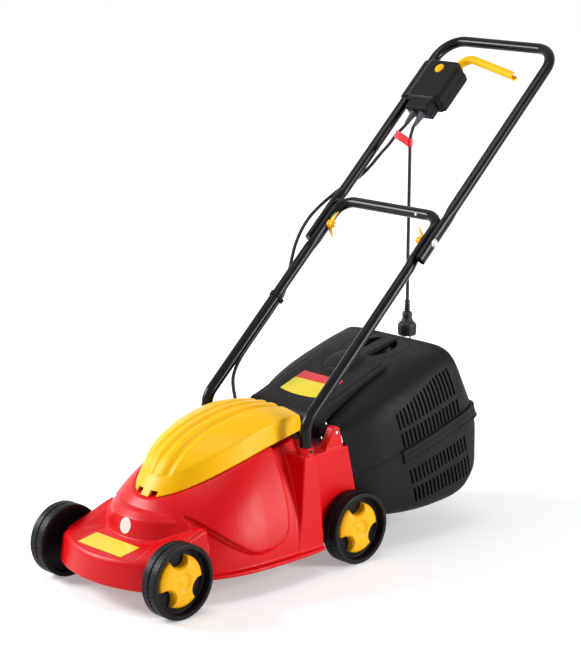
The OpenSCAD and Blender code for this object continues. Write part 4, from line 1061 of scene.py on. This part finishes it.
nut = wing_nut()
for hand, name in ((1, "right"), (-1, "left")):
    one = placed(doubled(nut), HANDLE_PLACE @ Matrix.Scale(hand, 4, (1, 0, 0)) @ move(NUT_X, 0, 0)
                 @ rotate(-90, "Y"))
    if hand < 0:
        one.data.flip_normals()
    dress(one, "wing_nut_petals_" + name, amber_pp, name + "_wing_nut", ["wing_nut_" + name])
print("wing nut faces:", len(nut.data.polygons))
bpy.data.objects.remove(nut)

# %% [markdown]
# ## The switch box
# Two nylon shells clamp the left leg of the upper handle. The part round the tube is long and
# narrow; beside it stands the deeper part with the safety button, with cut corners and a
# sloping bevel all round its top; a short neck below it takes the two cable glands. The lofts
# follow the same plan as the solids, and one skin over them all rounds their edges.

# %% Switch box shells
CASE_X0, CASE_X1, CASE_S, CASE_L, CASE_H, SPLIT = -128, -40, 322, 108, 30, 8
CLAMP_R = TUBE_R + 3.5
CASE_LOW = -CLAMP_R
# The two shells leave a thin seam between them.
SEAM = SPLIT - 0.6
BUTTON_PLACE = move(-88, 405, 0)


def case_plan(d):
    """The deep part's outline with two cut corners, d smaller all round."""
    x0, x1, s0, s1 = CASE_X0 + d, CASE_X1 - d, CASE_S + d, CASE_S + CASE_L - d
    return [(x0, s0), (x1 - 8, s0), (x1, s0 + 10), (x1, s1 - 16), (x1 - 16, s1), (x0, s1)]


def tapered(levels, plan):
    """A loft of one plan; each level is its height and how much smaller the plan is there."""
    return loft("tapered", [[(p[0], p[1], n) for p in plan(d)] for n, d in levels])


def neck_plan(d):
    """The neck below the case, which the two glands leave from."""
    return [(-114 + d, 298 + d), (-54 - d, 298 + d), (-54 - d, 326), (-114 + d, 326)]


def clamp(low, high):
    """The round clamp on the tube, between two heights."""
    arc = [(-UPPER_X + CLAMP_R * math.cos(t), CLAMP_R * math.sin(t))
           for t in np.linspace(math.pi / 2, 1.5 * math.pi, 17)]
    made = plate("clamp", [(-120, CLAMP_R)] + arc + [(-120, -CLAMP_R)], 336, 434, axis="y")
    return combine(made, [block("keep", (-200, 300, low), (-100, 500, high))], "INTERSECT")


def tube_bore():
    """The room for the handle's leg, a hair wider than its tube."""
    return placed(rod("bore", TUBE_R + 0.05, 250, 500, 48), move(-UPPER_X, 0, 0) @ rotate(-90, "X"))


front = tapered([(SPLIT, 0), (CASE_H - 9, 0), (CASE_H - 1.5, 4.5), (CASE_H, 7)], case_plan)
neck = tapered([(SPLIT, 0), (CASE_H - 8, 0), (CASE_H - 3, 3)], neck_plan)
ridge = plate("ridge", [(-152, SPLIT), (-120, SPLIT), (-120, 24), (-132, 21), (-146, 14)], 336, 434, axis="y")
combine(front, [neck, clamp(SPLIT, 40), ridge], "UNION")
one_skin(front, voxel=0.9, passes=3)
button_hole = placed(rod("hole", 11.5, 4, 60, 48), BUTTON_PLACE)
ring_step = turned("step", [(0, CASE_H - 1.2), (15, CASE_H - 1.2), (16, CASE_H + 2), (0, CASE_H + 2)], 56)
combine(front, [tube_bore(), button_hole, placed(ring_step, BUTTON_PLACE)], "DIFFERENCE")
dress(placed(front, HANDLE_PLACE), "switch_box_front_shell", nylon, "handle_top",
      ["switch_box_front"], sharp=35)

back = tapered([(CASE_LOW, 4), (CASE_LOW + 4, 0), (SEAM, 0)], case_plan)
neck = tapered([(CASE_LOW + 6, 2), (CASE_LOW + 9, 0), (SEAM, 0)], neck_plan)
combine(back, [neck, clamp(-40, SEAM)], "UNION")
one_skin(back, voxel=0.9, passes=3)
window = block("window", (-89, 422, -11), (-33, 445, 3))
combine(back, [tube_bore(), window], "DIFFERENCE")
dress(placed(back, HANDLE_PLACE), "switch_box_back_shell", nylon, "handle_top",
      ["switch_box_back"], sharp=35)
print("switch box faces:", len(front.data.polygons), len(back.data.polygons))

# %% Safety button
button = turned("button", [(0, 31), (7, 31), (9.6, 30.6), (10.6, 29.6), (11, 28), (11, 24), (3, 24), (3, 13.9),
                           (0, 13.9)], 56)
dress(placed(button, HANDLE_PLACE @ BUTTON_PLACE), "safety_button_cap", amber_pp, "button",
      ["safety_button"])
print("button faces:", len(button.data.polygons))

# %% [markdown]
# ## The switch lever
# The lever is a yellow channel moulding: a C-section, open to the grip, that leaves the box,
# turns a wide corner and runs across in front of the grip bar. It is a sweep of that section.

# %% Switch lever
LEVER_N = -1
LEVER_R, LEVER_WALL = 9.2, 2.4
LEVER_PIVOT = move(-75, 424, LEVER_N)
# The C's arc runs this far to each side of its middle.
ARC = 2.25


def arc_points(r, start, end):
    return [(r * math.cos(t), r * math.sin(t)) for t in np.linspace(start, end, 19)]


def lever():
    """The channel with its pivot eye at the root; both ends of the C are closed."""
    path = rounded_path([(-75, 436, LEVER_N), (-75, 466, LEVER_N), (84, 428, LEVER_N)], [0, 26, 0], step=5)
    section = arc_points(LEVER_R, -ARC, ARC) + arc_points(LEVER_R - LEVER_WALL, ARC, -ARC)
    channel = swept("channel", path, section, up=(0, 0, 1), zipped=(0, 1))
    root = block("root", (-80.5, 424, LEVER_N - 4.5), (-69.5, 441, LEVER_N + 4.5))
    eye = turned("eye", [(2.6, -5), (7.5, -5), (7.5, 5), (2.6, 5)], 40, ring=True)
    combine(root, [placed(eye, LEVER_PIVOT)], "UNION")
    combine(root, [placed(rod("pin", 2.6, -9, 9, 32), LEVER_PIVOT)], "DIFFERENCE")
    return combine(channel, [root], "UNION")


lever_bar = placed(bevelled(lever(), 0.7), HANDLE_PLACE)
dress(lever_bar, "switch_lever_channel", yellow_pp, "lever", ["switch_lever"], sharp=35)
print("lever faces:", len(lever_bar.data.polygons))

# %% [markdown]
# ## Cables, glands and the plug
# The motor cable runs from its gland down the left leg, past the fold, through a clip and into
# the deck. It is three pieces because the handle folds: each rides on its own body. The mains
# lead hangs from the second gland and ends in its plug. The points are those of the solids.

# %% Cable routes
CABLE_R = 3.5
MOTOR_ROUTE = [
    (-98, 629, 788), (-99, 618, 777), (-104, 604, 763), (-115, 594, 743), (-127, 588, 728),
    (-135, 580, 714), (-142, 568, 698), (-150, 555, 683), (-157, 540, 671), (-163, 523, 662),
    (-166, 506, 655), (-168, 494, 649), (-171, 466, 633), (-172, 446, 621), (-173, 427, 607),
    (-172, 408, 590), (-171, 393, 572), (-168, 378, 550), (-164, 367, 531), (-158, 354, 509),
    (-153, 344, 492), (-146, 332, 476), (-140.5, 319, 463), (-140, 310.3, 454.6), (-140, 301.5, 446.4),
    (-140, 280, 426), (-140, 250, 398), (-140, 215, 365), (-136, 190, 341), (-127, 172, 321),
    (-114, 161, 303), (-104, 156, 288), (-100, 154, 272), (-100, 154, 250), (-100, 154, 216)]
FOLD_FROM, FOLD_TO = 8, 22
LEAD_ROUTE = [
    (-74, 629, 788), (-74, 622, 779), (-74, 617, 766), (-74, 614.5, 750), (-74, 614, 720), (-74, 613.5, 670),
    (-74, 613, 620), (-74, 612.5, 570), (-74, 612, 520), (-74, 612, 470), (-74, 612, 440), (-74, 612, 421)]
NECK_S, GLAND_L, GLAND_N = 298, 30, 9


def from_gland(x, route):
    """The route with its first two points moved into the gland and straight out of it."""
    end = on_handle(x, NECK_S - GLAND_L, GLAND_N)
    return [end, end + np.array([0, -6 * math.cos(slope), -6 * math.sin(slope)])] + list(route[2:])


# %% Cable jackets
route = from_gland(-98, MOTOR_ROUTE)
motor_line = smooth_curve(route)
for name, first, last, body in (("handle_cable", 0, FOLD_FROM, "handle_top"),
                                ("fold_cable", FOLD_FROM, FOLD_TO, "machine"),
                                ("deck_cable", FOLD_TO, len(route) - 1, "machine")):
    run = swept(name, motor_line[first * PER_SPAN:last * PER_SPAN + 1], disc(16), CABLE_R, CABLE_R)
    dress(run, name + "_jacket", cable_pvc, body, [name], sharp=70)

lead_line = smooth_curve(from_gland(-74, LEAD_ROUTE))
lead = swept("lead", lead_line, disc(16), CABLE_R, CABLE_R)
dress(lead, "mains_lead_jacket", cable_pvc, "handle_top", ["mains_lead"], sharp=70)

# %% Glands


def gland(x):
    """A tapered strain relief with ring grooves, soft grey, in the neck of the box."""
    profile = [(0, -4), (4.5, -4), (4.5, 0), (7.4, 0), (7.4, 4)]
    for k in range(6):
        z, r = 5.5 + 3.9 * k, 6.6 - 0.34 * k
        profile += [(r - 1.3, z), (r - 1.3, z + 1.1), (r, z + 1.6), (r - 0.1, z + 3.2)]
    profile += [(4.2, GLAND_L), (0, GLAND_L)]
    return placed(turned("gland", profile, 36), HANDLE_PLACE @ move(x, NECK_S, GLAND_N) @ rotate(90, "X"))


for x, name in ((-98, "motor_cable_gland"), (-74, "mains_gland")):
    sleeve = dress(gland(x), name + "_sleeve", gland_pvc, "handle_top", [name], sharp=30)
    print(sleeve.name, "faces:", len(sleeve.data.polygons))

# %% Plug and pins
PLUG_AT, PLUG_L, PLUG_R, PIN_X, PIN_L, PIN_R = (-74, 612, 421), 75, 19, 9.5, 19, 2.4


def plug():
    """Drawn from its cable end: a ringed sleeve, a waist for the fingers and a ribbed head."""
    profile = [(0, 0), (4.6, 0), (5.2, 2)]
    for k in range(4):
        z, r = 4 + 5 * k, 5.6 + 0.35 * k
        profile += [(r, z), (r, z + 2.4), (r - 1.4, z + 3), (r - 1.4, z + 4.4)]
    profile += [(8.6, 25), (9.6, 27), (10.8, 30), (10.6, 33), (10, 36), (10.6, 40), (13, 45), (PLUG_R - 2.2, 48.5),
                (PLUG_R - 0.6, 50), (PLUG_R, 52), (PLUG_R, 72), (PLUG_R - 0.8, 74.2), (PLUG_R - 3, PLUG_L),
                (0, PLUG_L)]
    body = turned("plug", profile, 64)
    ribs = [placed(block("rib", (PLUG_R - 2, -0.9, 54), (PLUG_R + 0.5, 0.9, 70)),
                   Matrix.Rotation(k * math.pi / 12, 4, "Z")) for k in range(24)]
    combine(body, [joined("ribs", ribs)], "UNION")
    return placed(body, move(*PLUG_AT) @ rotate(180, "X"))


plug_body = dress(plug(), "plug_body", cable_pvc, "handle_top", ["plug"], sharp=32)
pins = []
for x in (-PIN_X, PIN_X):
    pin = turned("pin", [(0, 0), (PIN_R - 0.9, 0), (PIN_R - 0.2, 0.8), (PIN_R, 2), (PIN_R, PIN_L),
                         (PIN_R - 0.2, PIN_L), (PIN_R - 0.2, PIN_L + 12), (0, PIN_L + 12)], 32)
    pins.append(placed(pin, move(PLUG_AT[0] + x, PLUG_AT[1], PLUG_AT[2] - PLUG_L - PIN_L)))
pin_pair = dress(joined("pins", pins), "plug_pin_pair", pin_brass, "handle_top", ["plug_pins"])
print("plug faces:", len(plug_body.data.polygons))

# %% Cable clip and tag
BAND_R = TUBE_R + 2.2
clip = turned("clip", [(0, -5), (BAND_R - 0.8, -5), (BAND_R, -4), (BAND_R, 4), (BAND_R - 0.8, 5), (0, 5)], 64)
lug = bevelled(block("lug", (-5.6, 10, -5), (5.6, 21, 5)), 1.2)
holes = [rod("hole", TUBE_R + 0.1, -9, 9, 64), placed(rod("hole", 3.9, -9, 9, 32), move(0, 15.1, 0))]
combine(combine(clip, [lug], "UNION"), holes, "DIFFERENCE")
placed(clip, HANDLE_PLACE @ move(-LEG_X, -190, 0) @ rotate(-90, "X"))
dress(clip, "cable_clip_band", nylon, "machine", ["cable_clip"], sharp=35)

# The tag is a thin flag that stands out behind the lead from a loop round it.
TAG_T, TAG_HALF = 0.5, 8.5
tag_at = LEAD_ROUTE[3]
flag = []
for t in np.linspace(0, 1, 12):
    x = tag_at[0] + 2.2 * math.sin(math.pi * t)
    y, z = tag_at[1] - 2 - 42 * t, tag_at[2] - 2 + 24 * t
    flag.append([(x + dx, y + dy * 0.42, z + dy * 0.9)
                 for dx, dy in ((-TAG_T, -TAG_HALF), (TAG_T, -TAG_HALF), (TAG_T, TAG_HALF), (-TAG_T, TAG_HALF))])
loop = turned("loop", [(CABLE_R + 1.2, -8), (CABLE_R + 2, -8), (CABLE_R + 2, 8), (CABLE_R + 1.2, 8)], 24, ring=True)
tag = joined("tag", [loft("flag", flag), placed(loop, move(*tag_at))])
dress(tag, "cable_tag_flag", red_film, "handle_top", ["cable_tag"], sharp=50)
print("clip and tag faces:", len(clip.data.polygons), len(tag.data.polygons))

# %% [markdown]
# ## The grass catcher
# Two black shells meet at a slanting belt. Both are cut from one long squared-oval form that is
# low and narrow at the mouth and widest near the back. The belt stands proud of both shells
# from a third of the way back, with two clip lugs on its lower edge. Four rows of slanting slots
# let the air out on each side, and a bar across a round recess carries the whole thing.

# %% Catcher form
CATCHER_HALF, CATCHER_WALL, LOW_SQUARE = 175, 2.6, 9
# Place along the machine, share of the half width, foot, top, squareness above, and how much
# the sides lean in toward the top.
CATCHER_ROWS = [
    (196, 0.71, 140, 258, 4.5, 0), (230, 0.77, 118, 277, 5, 0), (262, 0.85, 90, 296, 5, 0),
    (300, 0.92, 68, 316, 5, 0), (356, 0.97, 60, 338, 5.5, 0.04), (420, 1, 58, 358, 6, 0.08),
    (480, 1, 61, 371, 8, 0.11), (507, 1, 65, 373, 8, 0.12), (530, 0.99, 74, 330, 7, 0.1),
    (548, 0.97, 90, 287, 6, 0.05), (560, 0.95, 108, 250, 6, 0.02), (564, 0.92, 120, 236, 6, 0)]
BELT_PLACE = move(0, 356, 189) @ rotate(16, "X")
BELT_T, BELT_H, BELT_DROP = 4, 10, 16
CATCHER_POINTS = 168


def catcher_form(inset):
    """The outer form of both shells, or, with an inset, the room inside them."""
    rings = []
    for y, share, low, high, square, narrow in smooth_curve(CATCHER_ROWS, per=6):
        a, mid, b = share * CATCHER_HALF - inset, (low + high) / 2, (high - low) / 2 - inset
        y += (-10 if y < 200 and inset > 0 else 0) - (inset if y > 540 else 0)
        ring = []
        for t in round_angles(CATCHER_POINTS) + 0.01:
            n = square if math.sin(t) > 0 else LOW_SQUARE
            up = power(math.sin(t), 2 / n)
            lean = 1 - (narrow * up * up if up > 0 else 0)
            ring.append((a * lean * power(math.cos(t), 2 / n), y, mid + b * up))
        rings.append(ring)
    return loft("catcher", rings)


def catcher_slice(proud, low, high, y0=-400, y1=400):
    """The form grown by proud, between two heights over the belt's plane."""
    slab = placed(block("slab", (-400, y0, low), (400, y1, high)), BELT_PLACE)
    return combine(catcher_form(-proud), [slab], "INTERSECT")


def mouth():
    """Everything ahead of the mouth, which lies against the deck's slanting rear."""
    lean = math.atan2(250 - 226, 226 - 130)
    return placed(block("mouth", (-400, -400, -400), (400, 0, 400)),
                  move(0, 250.5, 130) @ Matrix.Rotation(lean, 4, "X"))


def hooks():
    """The two bars that hang the catcher on the deck."""
    return [block("hook", (x, 186, 261.3), (x + 15.4, 246, 265.3)) for x in (104, -119.4)]


SLOT_W, SLOT_PITCH, SLOT_COUNT = 5, 10.4, 16


def slots(rows):
    """Hexagonal prisms through both side walls: foot and top above the belt, at each end of the row."""
    made = []
    for foot_0, foot_1, top_0, top_1 in rows:
        for i in range(SLOT_COUNT):
            t = i / (SLOT_COUNT - 1)
            v, w = 2 + i * SLOT_PITCH, SLOT_W / 2
            low, top = foot_0 + (foot_1 - foot_0) * t, top_0 + (top_1 - top_0) * min(1, t * 1.3)
            made.append(plate("slot", [(v, low), (v + w, low + w), (v + w, top - w), (v, top), (v - w, top - w),
                                       (v - w, low + w)], -300, 300))
    return placed(joined("slots", made), BELT_PLACE)


# %% Upper shell
upper_shell = catcher_slice(0, 0.4, 500)
belts = [catcher_slice(1.2, 0.4, BELT_H - 3, -160, 0), catcher_slice(BELT_T, 0.4, BELT_H, -8),
         catcher_slice(BELT_T + 0.8, BELT_H - 2.4, BELT_H + 0.6, -9)]
combine(upper_shell, belts + hooks(), "UNION")
ahead = combine(mouth(), hooks(), "DIFFERENCE")
roots = [block("hook_root", (x, 186, 261.3), (x + 40, 236, 265.3)) for x in (104, -144)]
hollow = combine(catcher_form(CATCHER_WALL), roots, "DIFFERENCE")
upper_slots = slots([(52, 54, 88, 112), (12, 12, 46, 46)])
combine(upper_shell, [hollow, ahead, upper_slots], "DIFFERENCE")
print("upper shell faces:", len(upper_shell.data.polygons))

# %% Recess and carrying bar
RECESS_PLACE = move(0, 441, 361.4) @ rotate(12.5, "X")
BAR = 18
hole = turned("hole", [(0, -40), (46, -40), (47, -2), (50, 3), (52, 30), (0, 30)], 96)
groove = turned("groove", [(70, -0.6), (71.4, -0.6), (71.4, 30), (70, 30)], 128, ring=True)
combine(upper_shell, [placed(made, RECESS_PLACE) for made in (hole, groove)], "DIFFERENCE")
dish = turned("dish", [(0, -30), (36, -30), (46, -20), (49.5, -3), (49.5, 1), (46.5, 1), (46, -4), (43, -18),
                       (35, -27.5), (0, -27.5)], 96)
bar = placed(bevelled(block("bar", (-BAR, -52, -8), (BAR, 52, 3)), 4, 4), RECESS_PLACE)
lines = [placed(block("line", (x, -46, 1.9), (x + 1, 46, 8)), RECESS_PLACE) for x in (BAR - 5, -BAR + 4)]
combine(bar, lines, "DIFFERENCE")
combine(upper_shell, [placed(dish, RECESS_PLACE), bar], "UNION")
dress(upper_shell, "catcher_upper_shell", black_pp, "catcher", ["catcher_upper"], sharp=38)

# %% Lower shell
# Its belt hangs below the seam, with a fold at its edge and two clip lugs.
lower_shell = catcher_slice(0, -400, -0.4)
belts = [catcher_slice(BELT_T, -BELT_DROP, -0.4, -8),
         catcher_slice(BELT_T + 0.8, -BELT_DROP - 0.6, 2.2 - BELT_DROP, -9)]
belts += [catcher_slice(BELT_T + 1.6, -BELT_DROP - 3, 4 - BELT_DROP, v - 7, v + 7) for v in (58, 154)]
combine(lower_shell, belts, "UNION")
lower_slots = slots([(-67, -72, -34, -38), (-108, -126, -75, -82)])
combine(lower_shell, [catcher_form(CATCHER_WALL), mouth(), lower_slots], "DIFFERENCE")
dress(lower_shell, "catcher_lower_shell", black_pp, "catcher", ["catcher_lower"], sharp=38)
print("catcher faces:", len(upper_shell.data.polygons), len(lower_shell.data.polygons))

# %% [markdown]
# ## The rear flap
# The flap is one bent sheet of plastic: it rolls over at the front down to its hinge rod, has a
# flange on each side and a round bump near its rear edge, which bows outward. It is drawn as a
# grid, thickened, and skinned together with its flanges and hinge boss. The label is two films,
# yellow and red, and stays blank.

# %% Rear flap
FLAP_HALF, FLAP_T, FLAP_L = 95, 3, 191
FLAP_TILT = math.radians(19.6)
FLAP_Y, FLAP_Z = 194, 289
HINGE_PLACE = move(0, HINGE_Y, HINGE_Z) @ rotate(90, "Y")
BUMP_AT, BUMP_R, BUMP_H = 170, 40, 13


def flap_point(d, n):
    """A point of the flap in the machine's side view: d up its plane, n out of it."""
    return (FLAP_Y + d * math.cos(FLAP_TILT) - n * math.sin(FLAP_TILT),
            FLAP_Z + d * math.sin(FLAP_TILT) + n * math.cos(FLAP_TILT))


# The front rolls over in an arc, from the foot at the hinge up to the plane.
roll = [(207.2 - 26 * math.cos(a), 266 + 26 * math.sin(a)) for a in np.linspace(0, math.radians(67), 9)]


def flap_sheet():
    """The bent sheet as a grid: rows up the foot and the roll, then up the plane."""
    columns = np.linspace(-FLAP_HALF, FLAP_HALF, 79)
    rows = [[(x, y, z) for x in columns] for y, z in [(183, 238), (182, 250)] + roll]
    for t in np.linspace(0, 1, 76):
        row = []
        for x in columns:
            d = 5 + t * (FLAP_L - 5 + 17 * (1 - (x / FLAP_HALF) ** 2))
            far = math.hypot(x, d - BUMP_AT) / BUMP_R
            bump = BUMP_H * math.sqrt(1 - far * far) if far < 1 else 0
            panel = 1.6 * ease((abs(x) - 82) / 3)
            y, z = flap_point(d, 0.5 * bump + min(bump, 6) * 0.6 - panel)
            row.append((x, y, z))
        rows.append(row)
    sheet = new_mesh("sheet", [p for row in rows for p in row], quads(len(rows), len(columns), row_closed=False))
    if sum(p.normal.z for p in sheet.data.polygons) < 0:
        sheet.data.flip_normals()
    add_step(sheet, "SOLIDIFY", thickness=FLAP_T, offset=-1)
    return evaluated(sheet)


# %% The flap as one moulding
flange = [(183, 238)] + roll + [(199, 289), flap_point(FLAP_L, -2), flap_point(FLAP_L, -8),
          (300, 315), (230, 280), (215, 271), (208, 262), (204, 246)]
parts = [flap_sheet()] + [plate("flange", flange, x, x + FLAP_T) for x in (-FLAP_HALF, FLAP_HALF - FLAP_T)]
parts.append(placed(rod("boss", 5.5, -FLAP_HALF, FLAP_HALF), HINGE_PLACE))
parts.append(block("web", (-FLAP_HALF, 184, 256.5), (FLAP_HALF, 195, 259.5)))
flap = one_skin(joined("flap", parts), voxel=1.0, passes=3)
rod_hole = placed(rod("rod_hole", 3.1, -120, 120), HINGE_PLACE)
combine(flap, [rod_hole, block("spring_room", (40, 185, 244), (62, 209, 268))], "DIFFERENCE")
dress(flap, "rear_flap_sheet", black_pp, "flap", ["rear_flap"], sharp=50)
print("flap faces:", len(flap.data.polygons))

# %% The label
LABEL_HALF = 57


def flap_label(name, outline, material):
    """A thin film on the flap's plane; its outline is (across, up the flap)."""
    made = plate(name, outline, 0.0, FILM, axis="z")
    placed(made, move(0, FLAP_Y, FLAP_Z) @ Matrix.Rotation(FLAP_TILT, 4, "X"))
    dress(made, name, material, "flap", ["rear_flap"])


foot = [(x, 42 - 7 * (1 - (x / LABEL_HALF) ** 2)) for x in np.linspace(-LABEL_HALF, LABEL_HALF, 13)]
flap_label("flap_label_yellow", foot + [(57, 86), (-57, 86)], yellow_film)
flap_label("flap_label_red", [(-57, 86.2), (57, 86.2), (56, 109), (-56, 112)], red_film)
print("label:", 2 * LABEL_HALF, "mm wide")

# %% [markdown]
# ## What stays as it is
# Screws, axles, the motor and the blade are already true in the frame: they only need their
# real surface.

# %% Finishes for the plain pieces
finishes = {
    zinc_steel: ["cover_screws", "motor_screws", "front_axle", "rear_axle", "push_nuts", "button_spring",
                 "lever_pin", "flap_rod", "flap_spring", "blade_washer", "blade_bolt", "spindle",
                 "lower_bearing", "upper_bearing"],
    black_steel: ["socket_screws", "switch_box_screws", "blade", "motor_yoke"],
    cast_alloy: ["motor_lower_plate", "motor_upper_plate", "blade_carrier"],
    lamination: ["armature"], carbon: ["carbon_brushes"], black_pp: ["cooling_fan", "axle_clamps"],
    block_resin: ["switch_block"]}
for material, names in finishes.items():
    for name in names:
        slots_of = frame["nodes"][name].data.materials
        slots_of.clear()
        slots_of.append(material)
print("plain pieces:", sum(len(names) for names in finishes.values()))

# %% [markdown]
# ## Studio
# A white sweep and soft boxes, as for a catalogue: a large one from the left front, a weak one
# above, and one from behind on the right that draws the long highlights on the tubes. The world
# is even and pale. White is only what the camera, mirrors and glass see.

# %% Floor


def seen_directly(tree):
    """1 for rays from the camera, a mirror or glass, 0 for light that falls on things."""
    path = add_node(tree, "ShaderNodeLightPath")
    total = add_node(tree, "ShaderNodeMath", {"operation": "ADD"}, _0=path.outputs["Is Camera Ray"],
                     _1=path.outputs["Is Glossy Ray"])
    return add_node(tree, "ShaderNodeMath", {"operation": "ADD", "use_clamp": True}, _0=total.outputs[0],
                    _1=path.outputs["Is Transmission Ray"]).outputs[0]


SWEEP, BELOW = 9000, 0.4
corners = [(-SWEEP, -SWEEP, 0), (SWEEP, -SWEEP, 0), (SWEEP, SWEEP, 0), (-SWEEP, SWEEP, 0)]
floor = placed(new_mesh("floor", corners, [(0, 1, 2, 3)]), Matrix.Scale(MM, 4))
# It lies a hair below the wheels, so the two faces never fight.
placed(floor, move(0, 0, -BELOW * MM))
material, tree, shader, place = start_material("white_studio_sweep", Base_Color=colour("#F6F6F6"), Roughness=0.8,
                                               Emission_Color=colour("#FFFFFF"))
# Far from the machine the sweep fades to pure white, as the lamps reach only its middle.
far_off = add_node(tree, "ShaderNodeVectorMath", {"operation": "LENGTH"}, _0=place).outputs["Value"]
fade = add_node(tree, "ShaderNodeMapRange", _0=far_off, _1=0.7, _2=2.2, _3=0.3, _4=1.0)
glow = add_node(tree, "ShaderNodeMath", {"operation": "MULTIPLY"}, _0=seen_directly(tree), _1=fade.outputs["Result"])
link(tree, glow.outputs[0], shader.inputs["Emission Strength"])
floor.data.materials.append(material)
print("floor:", 2 * SWEEP * MM, "m across")

# %% World and lamps
world = bpy.data.worlds.new("studio")
bpy.context.scene.world = world
world.use_nodes = True
tree = world.node_tree
tree.nodes.clear()
ambient = add_node(tree, "ShaderNodeBackground", Color=colour("#F4F7FF"), Strength=0.26)
white = add_node(tree, "ShaderNodeBackground", Color=colour("#FFFFFF"), Strength=1.0)
mixed = add_node(tree, "ShaderNodeMixShader", Fac=seen_directly(tree), _1=ambient.outputs[0], _2=white.outputs[0])
add_node(tree, "ShaderNodeOutputWorld", Surface=mixed.outputs[0])


def soft_box(name, at, aim, size, watts):
    """A rectangular lamp that faces the point aim."""
    lamp = bpy.data.lights.new(name, "AREA")
    lamp.shape = "RECTANGLE"
    lamp.size, lamp.size_y = size
    lamp.energy = watts
    made = in_scene(name, lamp)
    made.location = at
    made.rotation_euler = (Vector(aim) - Vector(at)).to_track_quat("-Z", "Y").to_euler()


CENTRE = (0, -0.15, 0.35)
soft_box("key_box", (-2.1, -1.9, 1.7), CENTRE, (1.2, 1.2), 92)
soft_box("top_box", (0.1, -0.3, 2.8), CENTRE, (1.6, 1.0), 18)
soft_box("side_box", (2.4, 1.1, 0.9), CENTRE, (0.8, 1.4), 56)
bpy.context.scene.view_settings.view_transform = "Standard"
print("lamps:", len(bpy.data.lights))

# %% [markdown]
# ## The solids' box
# The box round the frame's solids, as imported, is printed. The dressed machine has to
# stay inside the solids' box, apart from a few millimetres.

# %% The solids' box
print("solids:", [[round(v, 4) for v in corner] for corner in cad_box])
